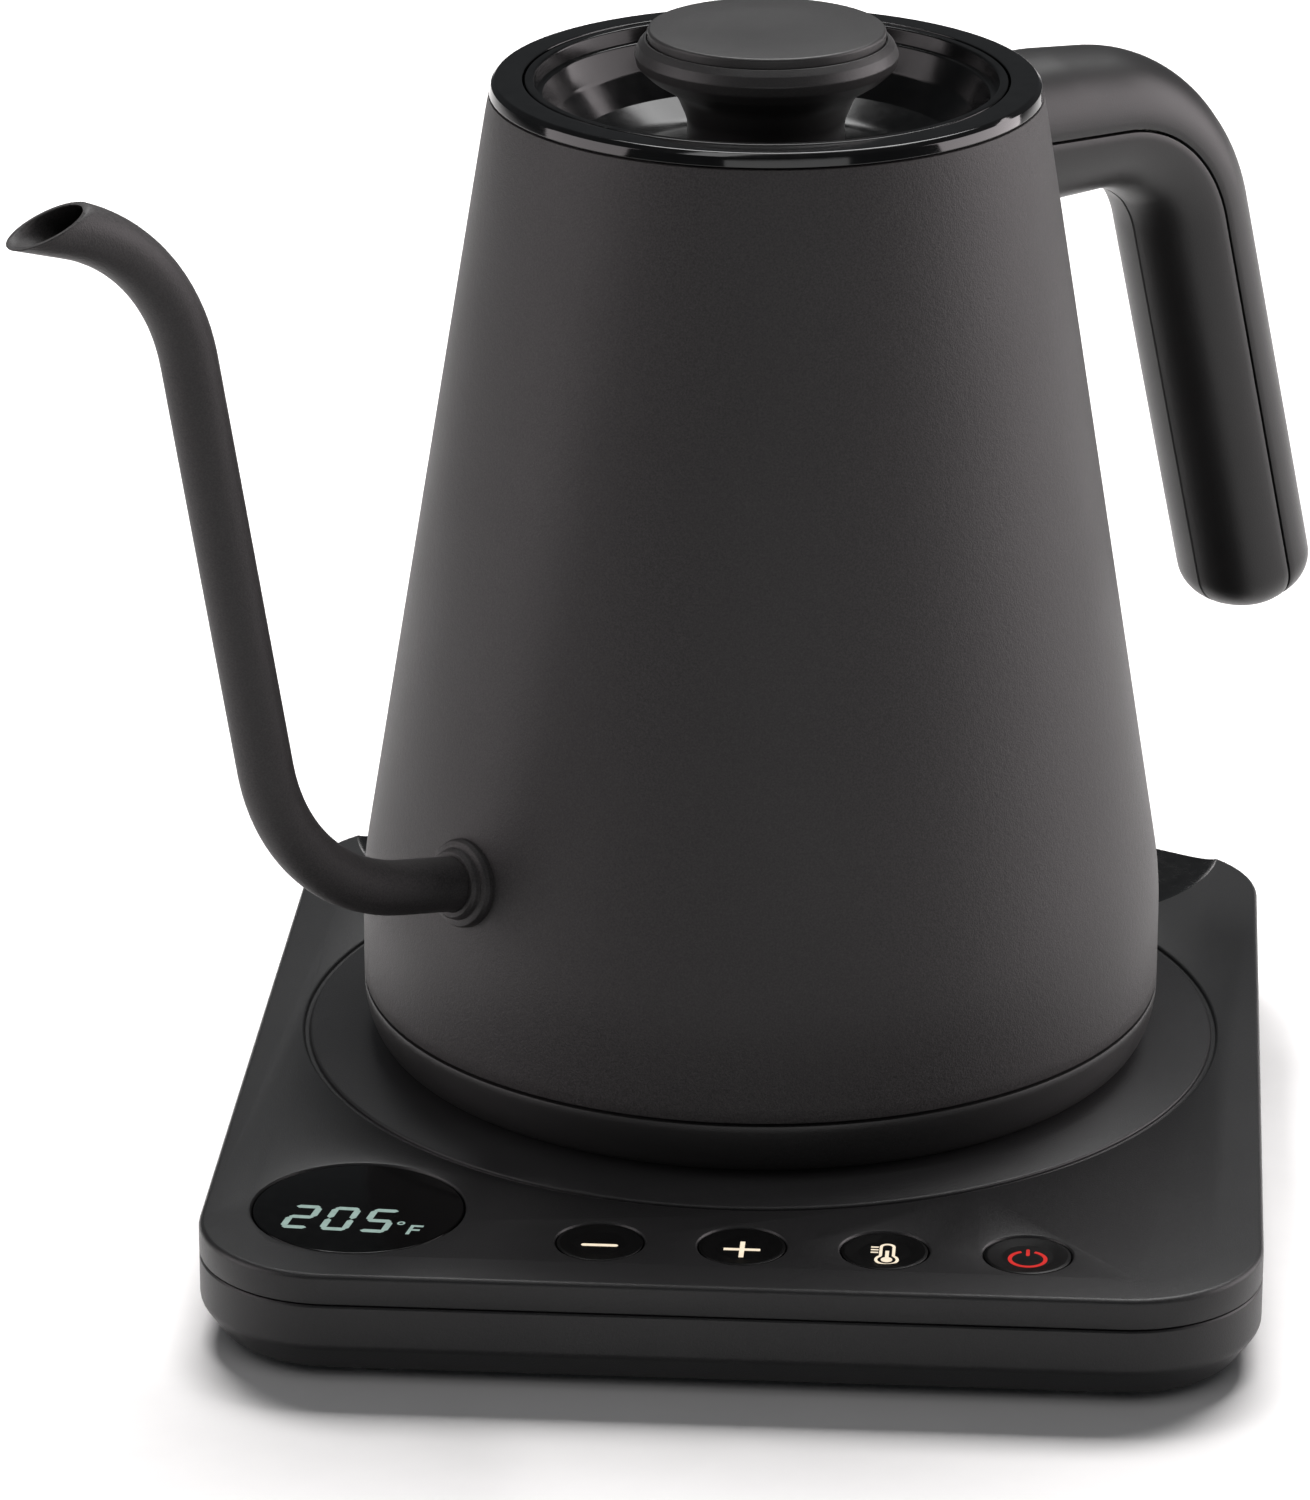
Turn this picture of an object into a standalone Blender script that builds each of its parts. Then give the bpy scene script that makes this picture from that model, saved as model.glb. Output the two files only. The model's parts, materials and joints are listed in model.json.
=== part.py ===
"""Electric gooseneck kettle on its heating base, modelled piece by piece.

World frame: metres, +Z up, the table at z = 0, the front of the base (its
buttons) towards -Y.  The kettle stands turned on its base, so its handle
points to +X +Y and its spout to -X -Y.  The origin is the middle of the
whole object's footprint on the table.
"""
import math

import bmesh
import bpy
from mathutils import Matrix, Vector

MM = 0.001
GAP = 0.3 * MM                      # between pieces that rest on each other

# ---- facets of round pieces, by size ----
LARGE_STEPS = 28
MEDIUM_STEPS = 18
SMALL_STEPS = 10

# ---- driving dimensions: base ----
BASE_WIDTH = 175 * MM
BASE_DEPTH = 200 * MM
BASE_CORNER = 23 * MM
BASE_CENTRE_Y = -10.5 * MM          # the kettle stands behind the base's middle
BASE_TOP = 20.5 * MM
BASE_SPLIT = 15.0 * MM              # joint between the two shells
BASE_UNDERCUT = 7.5 * MM            # below this the bottom shell slopes in
BASE_BOTTOM = 2.5 * MM
UNDERCUT_INSET = 3.5 * MM
SHELL_WALL = 2.4 * MM
SHELL_BEVEL = 1.4 * MM
RING_GROOVE_RADIUS = 79.4 * MM
RING_GROOVE_WIDTH = 1.2 * MM
RING_GROOVE_DEPTH = 0.8 * MM
SCALLOP_CENTRE = (42.7 * MM, 86.8 * MM)
SCALLOP_RADIUS = 37.8 * MM
SCALLOP_DEPTH = 1.4 * MM
PLATE_KEEPOUT = 82 * MM             # the scallops stop at the resting plate
FOOT_RADIUS = 5.5 * MM
FOOT_PLACES = {"foot_front_left": (-57, -98), "foot_front_right": (57, -98),
               "foot_rear_left": (-57, 77), "foot_rear_right": (57, 77)}
BASE_SCREW_PLACES = ((-77, -58), (77, -58), (-77, 48), (77, 48))

# ---- driving dimensions: controls ----
DISPLAY_CENTRE = (-61.6 * MM, -83.6 * MM)
DISPLAY_RADIUS = 17.5 * MM
BUTTON_NAMES = ("button_minus", "button_plus", "button_preset", "button_power")
BUTTON_FIRST_X = -20.8 * MM
BUTTON_PITCH = 23.3 * MM
BUTTON_Y = -93.8 * MM
BUTTON_RADIUS = 7.1 * MM
BUTTON_TRAVEL = 0.5 * MM
BOARD_TOP = 12.6 * MM

# ---- driving dimensions: connector ----
POST_RADIUS = 16.3 * MM
POST_TOP = 29.0 * MM

# ---- driving dimensions: kettle, heights above the base's top ----
KETTLE_TURN = math.radians(45)      # of the handle, from +X
CONE_RADIUS_AT_0 = 74.1 * MM
CONE_SLOPE = 0.1637
WALL_RADIUS = 69.2 * MM             # of the upright foot of the body
WALL_TOP = 24 * MM
BLEND_TOP = 36 * MM
BODY_BOTTOM = 10.6 * MM
BODY_TOP = 168.4 * MM
BODY_WALL = 1.0 * MM
FLOOR_Z = 17 * MM
COVER_TOP = 10.2 * MM
MOUTH_RADIUS = 40.8 * MM
RIM_TOP = 171.0 * MM
LID_FLOOR = 155.1 * MM
KNOB_TOP = 179.6 * MM
KNOB_RADIUS = 22.1 * MM
KNOB_CAP_RADIUS = 20.0 * MM

# ---- driving dimensions: spout, in the plane of spout and handle ----
SPOUT_OUTER = 4.65 * MM
SPOUT_BORE = 3.85 * MM
SPOUT_ROOT = (62.0 * MM, 42.6 * MM)
SPOUT_ROOT_RISE = math.radians(11.5)
SPOUT_RISE = math.radians(79.4)
SPOUT_TIP_RISE = math.radians(18.5)
SPOUT_LOWER_BEND = 35.3 * MM
SPOUT_UPPER_BEND = 34.3 * MM
SPOUT_ROOT_RUN = 19.0 * MM
SPOUT_RISER = 73.5 * MM
SPOUT_TIP_RUN = 20 * MM
SPOUT_CUT_POINT = (149.4 * MM, 174.1 * MM)
SPOUT_CUT_TILT = math.radians(-18.2)
SPOUT_RING_CLEARANCE = 0.4 * MM     # of the ring round the spout's root

# ---- driving dimensions: handle ----
HANDLE_START = (42 * MM, 152.6 * MM)
HANDLE_DROP = math.radians(-4)
HANDLE_FALL = math.radians(-74.9)
HANDLE_ARM_RUN = 32 * MM
HANDLE_BEND = 27.5 * MM
HANDLE_GRIP_RUN = 80 * MM
HANDLE_HALF_WIDTH = 12.0 * MM
HANDLE_HALF_THICK = 11.4 * MM
HANDLE_ROOT_THICK = 13.4 * MM
HANDLE_WALL = 2.4 * MM
HANDLE_END_ROUND = 5.0 * MM
HANDLE_SCREW_STATIONS = (17 * MM, 30 * MM)   # both under the arm
HANDLE_BRACKET_END = 62 * MM
HANDLE_STEP = 5 * MM                # between the sections round its bend
HANDLE_ROOT_LENGTH = 54 * MM        # over which the root slims to the grip
HANDLE_SCREW_SINK = 1.6 * MM
GRIP_POWER = 0.86                   # squareness of the grip's section
GRIP_SEAM = 0.15 * MM               # half the gap between the handle's halves

# ---- reach of the cutters past what they cut ----
CLEAR_ABOVE = 40 * MM
WIDE = 200 * MM

# ---- the footprint's middle, seen from the kettle's axis ----
FOOTPRINT_MIDDLE = (-8.01 * MM, -8.01 * MM)


# ---------------------------------------------------------------- scene set-up

def clear_scene():
    for obj in list(bpy.data.objects):
        bpy.data.objects.remove(obj, do_unlink=True)


def new_collection(name):
    collection = bpy.data.collections.new(name)
    bpy.context.scene.collection.children.link(collection)
    return collection


clear_scene()
PARTS = new_collection("gooseneck_kettle")
CUTTERS = new_collection("kettle_cutters")


def new_material(name, colour, roughness, metallic=0.0):
    mat = bpy.data.materials.new(name)
    mat.use_nodes = True
    shader = mat.node_tree.nodes["Principled BSDF"]
    shader.inputs["Base Color"].default_value = (*colour, 1)
    shader.inputs["Roughness"].default_value = roughness
    shader.inputs["Metallic"].default_value = metallic
    mat.diffuse_color = (*colour, 1)
    return mat


COATED_STEEL = new_material("coated_steel", (0.035, 0.034, 0.034), 0.55)
SATIN_PLASTIC = new_material("satin_plastic", (0.012, 0.012, 0.012), 0.45)
GLOSS_PLASTIC = new_material("gloss_plastic", (0.006, 0.006, 0.006), 0.08)
BASE_PLASTIC = new_material("base_plastic", (0.02, 0.02, 0.021), 0.5)
BUTTON_PLASTIC = new_material("button_plastic", (0.005, 0.005, 0.005), 0.15)
WINDOW_PLASTIC = new_material("window_plastic", (0.005, 0.005, 0.005), 0.12)
RUBBER = new_material("black_rubber", (0.02, 0.02, 0.02), 0.8)
SILICONE = new_material("grey_silicone", (0.35, 0.35, 0.34), 0.6)
STEEL = new_material("bare_steel", (0.6, 0.6, 0.58), 0.3, 1.0)
ALUMINIUM = new_material("aluminium", (0.7, 0.7, 0.7), 0.45, 1.0)
COPPER = new_material("brass_contact", (0.72, 0.5, 0.2), 0.3, 1.0)
BOARD_GREEN = new_material("circuit_board", (0.02, 0.14, 0.06), 0.5)
MOULDED_WHITE = new_material("moulded_white", (0.75, 0.74, 0.7), 0.5)
RELAY_BLUE = new_material("relay_blue", (0.05, 0.12, 0.35), 0.4)
COIL_YELLOW = new_material("coil_yellow", (0.7, 0.55, 0.1), 0.5)


def new_empty(name, place, parent=None, turn=0.0):
    empty = bpy.data.objects.new(name, None)
    empty.location = place
    empty.rotation_euler = (0, 0, turn)
    empty.parent = parent
    CUTTERS.objects.link(empty)
    return empty


def place_object(name, mesh, mat, parent, place=(0, 0, 0)):
    """Links a new part, or a cutter where mat is None."""
    obj = bpy.data.objects.new(name, mesh)
    obj.location = place
    obj.parent = parent
    if mat is None:
        CUTTERS.objects.link(obj)
        obj.hide_render = True
        obj.display_type = "WIRE"
        return obj
    PARTS.objects.link(obj)
    mesh.materials.append(mat)
    return obj


# ---------------------------------------------------------------- shape makers

def turned(name, profile, mat, parent, place=(0, 0, 0), steps=LARGE_STEPS, closed=True):
    """Turns (radius, z) points, given down the outer side, about local Z."""
    mesh = bpy.data.meshes.new(name)
    points = [(radius, 0, z) for radius, z in profile]
    edges = [(i, i + 1) for i in range(len(points) - 1)]
    if closed:
        edges.append((len(points) - 1, 0))
    mesh.from_pydata(points, edges, [])
    obj = place_object(name, mesh, mat, parent, place)
    screw = obj.modifiers.new("turn", "SCREW")
    screw.axis = "Z"
    screw.angle = math.tau
    screw.steps = steps
    screw.render_steps = steps
    screw.use_merge_vertices = True
    screw.merge_threshold = 0.0001
    screw.use_smooth_shade = True
    return obj


def ring_profile(inner, outer, low, high):
    return [(outer, high), (outer, low), (inner, low), (inner, high)]


def ring(name, inner, outer, low, high, mat, parent, place=(0, 0, 0), steps=MEDIUM_STEPS):
    return turned(name, ring_profile(inner, outer, low, high), mat, parent, place, steps)


def disc(name, radius, low, high, mat, parent, place=(0, 0, 0), steps=MEDIUM_STEPS):
    """A plain cylinder between two heights, from Blender's cone operator."""
    mesh = bpy.data.meshes.new(name)
    bm = bmesh.new()
    middle = Matrix.Translation((0, 0, (low + high) / 2))
    bmesh.ops.create_cone(bm, cap_ends=True, segments=steps, radius1=radius,
                          radius2=radius, depth=high - low, matrix=middle)
    bm.to_mesh(mesh)
    bm.free()
    mesh.shade_smooth()
    mesh.set_sharp_from_angle(angle=math.radians(40))
    return place_object(name, mesh, mat, parent, place)


def block(name, low, high, mat, parent):
    """A box between two corners."""
    mesh = bpy.data.meshes.new(name)
    bm = bmesh.new()
    size = Vector(high) - Vector(low)
    middle = (Vector(high) + Vector(low)) / 2
    bmesh.ops.create_cube(bm, size=1, matrix=Matrix.Translation(middle) @ Matrix.Diagonal((*size, 1)))
    bm.to_mesh(mesh)
    bm.free()
    return place_object(name, mesh, mat, parent)


def corner_outline(width, depth, radius, centre, inset=0.0, steps=5):
    """Points of a rectangle with round corners, anticlockwise."""
    half_x = width / 2 - radius
    half_y = depth / 2 - radius
    points = []
    for turn, (sx, sy) in enumerate(((1, 1), (-1, 1), (-1, -1), (1, -1))):
        for i in range(steps + 1):
            angle = math.radians(90) * (turn + i / steps)
            x = centre[0] + sx * half_x + (radius - inset) * math.cos(angle)
            y = centre[1] + sy * half_y + (radius - inset) * math.sin(angle)
            points.append((x, y))
    return points


def curve_to_mesh(obj, name, mat, parent):
    """Swaps a curve for its mesh, with its caps welded on."""
    mesh = bpy.data.meshes.new_from_object(obj.evaluated_get(bpy.context.evaluated_depsgraph_get()))
    bm = bmesh.new()
    bm.from_mesh(mesh)
    bmesh.ops.remove_doubles(bm, verts=bm.verts, dist=0.00002)
    bmesh.ops.recalc_face_normals(bm, faces=bm.faces)
    bm.to_mesh(mesh)
    bm.free()
    bpy.data.objects.remove(obj, do_unlink=True)
    mesh.materials.clear()
    return place_object(name, mesh, mat, parent)


def slab(name, outline, low, high, mat, parent):
    """A flat outline, filled and given the thickness between two heights."""
    curve = bpy.data.curves.new(name, "CURVE")
    curve.dimensions = "2D"
    curve.fill_mode = "BOTH"
    curve.extrude = (high - low) / 2
    spline = curve.splines.new("POLY")
    spline.points.add(len(outline) - 1)
    for point, (x, y) in zip(spline.points, outline):
        point.co = (x, y, 0, 1)
    spline.use_cyclic_u = True
    rough = bpy.data.objects.new(name, curve)
    CUTTERS.objects.link(rough)
    bpy.context.view_layer.update()
    obj = curve_to_mesh(rough, name, mat, parent)
    obj.data.transform(Matrix.Translation((0, 0, (low + high) / 2)))
    return obj


def rod(name, points, radius, mat, parent, bevel_resolution=4):
    """A round bar along points, as a mesh."""
    curve = bpy.data.curves.new(name, "CURVE")
    curve.dimensions = "3D"
    curve.bevel_depth = radius
    curve.bevel_resolution = bevel_resolution
    curve.use_fill_caps = True
    spline = curve.splines.new("POLY")
    spline.points.add(len(points) - 1)
    for point, co in zip(spline.points, points):
        point.co = (*co, 1)
    rough = bpy.data.objects.new(name, curve)
    CUTTERS.objects.link(rough)
    bpy.context.view_layer.update()
    obj = curve_to_mesh(rough, name, mat, parent)
    obj.data.shade_smooth()
    obj.data.set_sharp_from_angle(angle=math.radians(50))
    return obj


def loft(name, sections, mat, parent):
    """Joins closed sections of equal point counts, with a cap at each end."""
    mesh = bpy.data.meshes.new(name)
    bm = bmesh.new()
    rows = [[bm.verts.new(point) for point in section] for section in sections]
    count = len(sections[0])
    for row, following in zip(rows, rows[1:]):
        for i in range(count):
            j = (i + 1) % count
            bm.faces.new((row[i], row[j], following[j], following[i]))
    bm.faces.new(rows[0][::-1])
    bm.faces.new(rows[-1])
    bmesh.ops.recalc_face_normals(bm, faces=bm.faces)
    bm.to_mesh(mesh)
    bm.free()
    mesh.shade_smooth()
    mesh.set_sharp_from_angle(angle=math.radians(40))
    return place_object(name, mesh, mat, parent)


def boolean(obj, tool, operation="DIFFERENCE"):
    modifier = obj.modifiers.new(operation.lower(), "BOOLEAN")
    modifier.operation = operation
    modifier.object = tool
    modifier.solver = "EXACT"


def bevel(obj, width, segments=2, angle=60):
    modifier = obj.modifiers.new("bevel", "BEVEL")
    modifier.width = width
    modifier.segments = segments
    modifier.limit_method = "ANGLE"
    modifier.angle_limit = math.radians(angle)


def bent_path(start, heading, moves, step):
    """Points (along, up, heading) of a path of straight runs and bends.

    A move is ("run", length) or ("bend", radius, new heading).
    """
    along, up = start
    path = [(along, up, heading)]
    for move in moves:
        if move[0] == "run":
            count = max(1, round(move[1] / (4 * step)))
            for _ in range(count):
                along += move[1] / count * math.cos(heading)
                up += move[1] / count * math.sin(heading)
                path.append((along, up, heading))
            continue
        _, radius, target = move
        turn = target - heading
        count = max(2, round(abs(turn) * radius / step))
        side = 1 if turn > 0 else -1
        centre_along = along - side * radius * math.sin(heading)
        centre_up = up + side * radius * math.cos(heading)
        for i in range(1, count + 1):
            now = heading + turn * i / count
            path.append((centre_along + side * radius * math.sin(now),
                         centre_up - side * radius * math.cos(now), now))
        heading = target
        along, up, _ = path[-1]
    return path


def screw_solid(name, place, axis, head_radius, head_height, shaft_radius, length, parent):
    """A plain screw: head at place, shaft of length along axis from under it."""
    profile = [(0, length), (shaft_radius, length), (shaft_radius, 0), (head_radius, 0),
               (head_radius, -head_height), (0, -head_height)]
    obj = turned(name, profile, STEEL, parent, place, steps=SMALL_STEPS, closed=False)
    obj.rotation_mode = "QUATERNION"
    obj.rotation_quaternion = Vector((0, 0, 1)).rotation_difference(Vector(axis))
    return obj


# ---------------------------------------------------------------- the frame

ORIGIN = new_empty("kettle_origin", (-FOOTPRINT_MIDDLE[0], -FOOTPRINT_MIDDLE[1], 0))
KETTLE = new_empty("kettle_axis", (0, 0, BASE_TOP), ORIGIN, KETTLE_TURN)


def base_outline(inset=0.0):
    return corner_outline(BASE_WIDTH, BASE_DEPTH, BASE_CORNER, (0, BASE_CENTRE_Y), inset)


def cone_radius(z):
    return CONE_RADIUS_AT_0 - CONE_SLOPE * z


# ---------------------------------------------------------------- base

def scallop_cutter(side):
    """A shallow dished trough in a rear corner of the base's top."""
    high = 3 * MM
    profile = [(SCALLOP_RADIUS, high), (SCALLOP_RADIUS, 0),
               (SCALLOP_RADIUS - 1.6 * MM, -0.8 * SCALLOP_DEPTH),
               (SCALLOP_RADIUS - 5 * MM, -SCALLOP_DEPTH),
               (SCALLOP_RADIUS - 11 * MM, -0.7 * SCALLOP_DEPTH),
               (SCALLOP_RADIUS - 18 * MM, 0), (SCALLOP_RADIUS - 18 * MM, high)]
    label = "left" if side < 0 else "right"
    place = (side * SCALLOP_CENTRE[0], SCALLOP_CENTRE[1], BASE_TOP)
    cutter = turned("scallop_" + label, profile, None, ORIGIN, place)
    plate = disc("scallop_plate_" + label, PLATE_KEEPOUT, BASE_TOP - 5 * MM, BASE_TOP + 5 * MM,
                 None, ORIGIN, steps=2 * LARGE_STEPS)
    edge = side * SCALLOP_CENTRE[0]
    far = edge - side * 60 * MM
    middle = block("scallop_middle_" + label, (min(edge, far), 0, BASE_TOP - 5 * MM),
                   (max(edge, far), 140 * MM, BASE_TOP + 5 * MM), None, ORIGIN)
    boolean(cutter, plate)
    boolean(cutter, middle)
    return cutter


def make_base_top_shell():
    shell = slab("base_top_shell", base_outline(), BASE_SPLIT - 4 * MM, BASE_TOP, BASE_PLASTIC, ORIGIN)
    bevel(shell, SHELL_BEVEL)
    underside = BASE_TOP - SHELL_WALL
    boolean(shell, slab("top_shell_hollow", base_outline(SHELL_WALL), 0, underside, None, ORIGIN))
    boolean(shell, block("top_shell_trim", (-WIDE, -WIDE, 0), (WIDE, WIDE, BASE_SPLIT + GAP), None, ORIGIN))
    for index, (x, y) in enumerate(BASE_SCREW_PLACES):
        boss = ring("top_boss_%d" % index, 1.7 * MM, 3.8 * MM, BASE_UNDERCUT + MM,
                    underside + 0.5 * MM, None, ORIGIN, (x * MM, y * MM, 0), steps=SMALL_STEPS)
        boolean(shell, boss, "UNION")
    post_hole = disc("post_hole", POST_RADIUS + GAP, 0, CLEAR_ABOVE, None, ORIGIN)
    display_hole = disc("display_hole", DISPLAY_RADIUS + GAP, 0, CLEAR_ABOVE, None, ORIGIN,
                        (*DISPLAY_CENTRE, 0))
    boolean(shell, post_hole)
    boolean(shell, display_hole)
    for index, name in enumerate(BUTTON_NAMES):
        place = (BUTTON_FIRST_X + index * BUTTON_PITCH, BUTTON_Y, 0)
        boolean(shell, disc(name + "_hole", BUTTON_RADIUS + GAP, 0, CLEAR_ABOVE, None, ORIGIN, place))
    groove = ring("ring_groove", RING_GROOVE_RADIUS - RING_GROOVE_WIDTH / 2,
                  RING_GROOVE_RADIUS + RING_GROOVE_WIDTH / 2, BASE_TOP - RING_GROOVE_DEPTH,
                  BASE_TOP + MM, None, ORIGIN, steps=LARGE_STEPS)
    boolean(shell, groove)
    for side in (-1, 1):
        boolean(shell, scallop_cutter(side))


def make_base_bottom_shell():
    levels = ((UNDERCUT_INSET, BASE_BOTTOM), (0, BASE_UNDERCUT), (0, BASE_SPLIT))
    sections = [[(x, y, z) for x, y in base_outline(inset)] for inset, z in levels]
    shell = loft("base_bottom_shell", sections, BASE_PLASTIC, ORIGIN)
    floor_z = BASE_BOTTOM + SHELL_WALL
    inner_step = UNDERCUT_INSET + SHELL_WALL
    boolean(shell, slab("bottom_hollow", base_outline(inner_step), floor_z, CLEAR_ABOVE, None, ORIGIN))
    boolean(shell, slab("bottom_upper_hollow", base_outline(SHELL_WALL), BASE_UNDERCUT + SHELL_WALL,
                        CLEAR_ABOVE, None, ORIGIN))
    for index, (x, y) in enumerate(((-74, -96), (56, -96), (-74, -71), (56, -71))):
        post = disc("board_post_%d" % index, 2.6 * MM, floor_z - MM, BOARD_TOP - 1.6 * MM - GAP,
                    None, ORIGIN, (x * MM, y * MM, 0), steps=SMALL_STEPS)
        boolean(shell, post, "UNION")
    for index, (x, y) in enumerate(((-50, 38), (50, 38), (-50, 68), (50, 68))):
        post = disc("power_post_%d" % index, 2.6 * MM, floor_z - MM, 7.4 * MM, None, ORIGIN,
                    (x * MM, y * MM, 0), steps=SMALL_STEPS)
        boolean(shell, post, "UNION")
    for index, (x, y) in enumerate(BASE_SCREW_PLACES):
        place = (x * MM, y * MM, 0)
        profile = [(0, CLEAR_ABOVE), (1.8 * MM, CLEAR_ABOVE), (1.8 * MM, 4.2 * MM), (3.3 * MM, 4.2 * MM),
                   (3.3 * MM, 0), (0, 0)]
        boolean(shell, turned("bottom_screw_hole_%d" % index, profile, None, ORIGIN, place,
                              SMALL_STEPS, False))
    for name, (x, y) in FOOT_PLACES.items():
        boolean(shell, disc(name + "_seat", FOOT_RADIUS + GAP, 0, BASE_BOTTOM + MM, None, ORIGIN,
                            (x * MM, y * MM, 0)))
    slot = block("gland_slot", (-6.5 * MM, 70 * MM, 8.4 * MM), (6.5 * MM, 110 * MM, CLEAR_ABOVE),
                 None, ORIGIN)
    boolean(shell, slot)


def make_feet_and_screws():
    for name, (x, y) in FOOT_PLACES.items():
        profile = [(0, 3.2 * MM), (FOOT_RADIUS, 3.2 * MM), (FOOT_RADIUS, 0.8 * MM),
                   (FOOT_RADIUS - 0.8 * MM, 0), (0, 0)]
        turned(name, profile, RUBBER, ORIGIN, (x * MM, y * MM, 0), steps=MEDIUM_STEPS, closed=False)
    for number, (x, y) in enumerate(BASE_SCREW_PLACES, 1):
        screw_solid("base_screw_%d" % number, (x * MM, y * MM, 3.9 * MM), (0, 0, 1),
                    3.0 * MM, 1.3 * MM, 1.4 * MM, 11 * MM, ORIGIN)


def make_controls():
    disc("display_window", DISPLAY_RADIUS, BASE_TOP - SHELL_WALL, BASE_TOP - 0.22 * MM,
         WINDOW_PLASTIC, ORIGIN, (*DISPLAY_CENTRE, 0))
    x, y = DISPLAY_CENTRE
    block("display_module", (x - 13 * MM, y - 6.5 * MM, BOARD_TOP + GAP),
          (x + 13 * MM, y + 6.5 * MM, BASE_TOP - SHELL_WALL - GAP), MOULDED_WHITE, ORIGIN)
    block("control_board", (-78 * MM, -100 * MM, BOARD_TOP - 1.6 * MM),
          (60 * MM, -67 * MM, BOARD_TOP), BOARD_GREEN, ORIGIN)
    disc("piezo_buzzer", 5 * MM, BOARD_TOP + GAP, BOARD_TOP + 4.2 * MM, SATIN_PLASTIC, ORIGIN,
         (-38 * MM, -76 * MM, 0), steps=MEDIUM_STEPS)
    cap_top = BASE_TOP - 0.2 * MM
    flange_top = BASE_TOP - SHELL_WALL - GAP
    flange_low = flange_top - 1.2 * MM
    nub_low = flange_low - 0.3 * MM
    for index, name in enumerate(BUTTON_NAMES):
        bx = BUTTON_FIRST_X + index * BUTTON_PITCH
        profile = [(0, cap_top - 0.35 * MM), (BUTTON_RADIUS - 2.4 * MM, cap_top - 0.3 * MM),
                   (BUTTON_RADIUS - 0.7 * MM, cap_top), (BUTTON_RADIUS, cap_top - 0.3 * MM),
                   (BUTTON_RADIUS, flange_top), (BUTTON_RADIUS + 1.1 * MM, flange_top),
                   (BUTTON_RADIUS + 1.1 * MM, flange_low), (2 * MM, flange_low), (2 * MM, nub_low),
                   (0, nub_low)]
        profile = [(r, z - flange_low) for r, z in profile]
        turned(name, profile, BUTTON_PLASTIC, ORIGIN, (bx, BUTTON_Y, flange_low), MEDIUM_STEPS, False)
        body = block("tact_switch_%d" % (index + 1), (bx - 3 * MM, BUTTON_Y - 3 * MM, BOARD_TOP + GAP),
                     (bx + 3 * MM, BUTTON_Y + 3 * MM, nub_low - 1.4 * MM), SATIN_PLASTIC, ORIGIN)
        plunger_top = nub_low - BUTTON_TRAVEL - 0.1 * MM
        plunger = disc("tact_plunger_%d" % index, 1.6 * MM, BOARD_TOP + 0.8 * MM, plunger_top,
                       None, ORIGIN, (bx, BUTTON_Y, 0), steps=SMALL_STEPS)
        boolean(body, plunger, "UNION")


def make_power_parts():
    board_low = 7.7 * MM
    board_top = board_low + 1.6 * MM
    seat = board_top + GAP
    block("power_board", (-56 * MM, 32 * MM, board_low), (56 * MM, 73 * MM, board_top),
          BOARD_GREEN, ORIGIN)
    block("relay", (14 * MM, 40 * MM, seat), (33 * MM, 55 * MM, seat + 7.8 * MM), RELAY_BLUE, ORIGIN)
    block("power_transformer", (-42 * MM, 38 * MM, seat), (-22 * MM, 58 * MM, seat + 7.6 * MM),
          COIL_YELLOW, ORIGIN)
    block("terminal_block", (-8 * MM, 60 * MM, seat), (8 * MM, 69 * MM, seat + 6 * MM),
          MOULDED_WHITE, ORIGIN)


def make_cord_gland():
    """The bush in the rear wall that the mains lead comes out of."""
    wall = BASE_CENTRE_Y + BASE_DEPTH / 2
    gland = block("cord_gland", (-6.2 * MM, wall - 6 * MM, 8.7 * MM),
                  (6.2 * MM, wall + 1.2 * MM, BASE_SPLIT - 0.1 * MM), RUBBER, ORIGIN)
    flange = block("gland_flange", (-8 * MM, wall - 6 * MM, 10.3 * MM),
                   (8 * MM, wall - SHELL_WALL - GAP, BASE_SPLIT - 0.1 * MM), None, ORIGIN)
    bore = disc("gland_bore", 2.5 * MM, -0.02, 0.02, None, ORIGIN, (0, wall, 11.8 * MM), steps=SMALL_STEPS)
    bore.rotation_euler = (math.radians(90), 0, 0)
    boolean(gland, flange, "UNION")
    boolean(gland, bore)


def make_base_connector():
    underside = BASE_TOP - SHELL_WALL
    foot = 10 * MM
    profile = [(3.4 * MM, POST_TOP), (8.0 * MM, POST_TOP), (8.0 * MM, foot + 3 * MM),
               (10.4 * MM, foot + 3 * MM), (10.4 * MM, POST_TOP), (POST_RADIUS - 1.5 * MM, POST_TOP),
               (POST_RADIUS, POST_TOP - 1.5 * MM), (POST_RADIUS, underside - GAP),
               (20 * MM, underside - GAP), (20 * MM, foot), (3.4 * MM, foot)]
    turned("base_connector_housing", profile, SATIN_PLASTIC, ORIGIN, steps=MEDIUM_STEPS)
    ring("base_centre_contact", 2.0 * MM, 3.0 * MM, foot, 21.5 * MM, COPPER, ORIGIN, steps=SMALL_STEPS)
    ring("base_ring_contact", 9.6 * MM, 10.0 * MM, foot + 3.3 * MM, 21.5 * MM, COPPER, ORIGIN)


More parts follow.
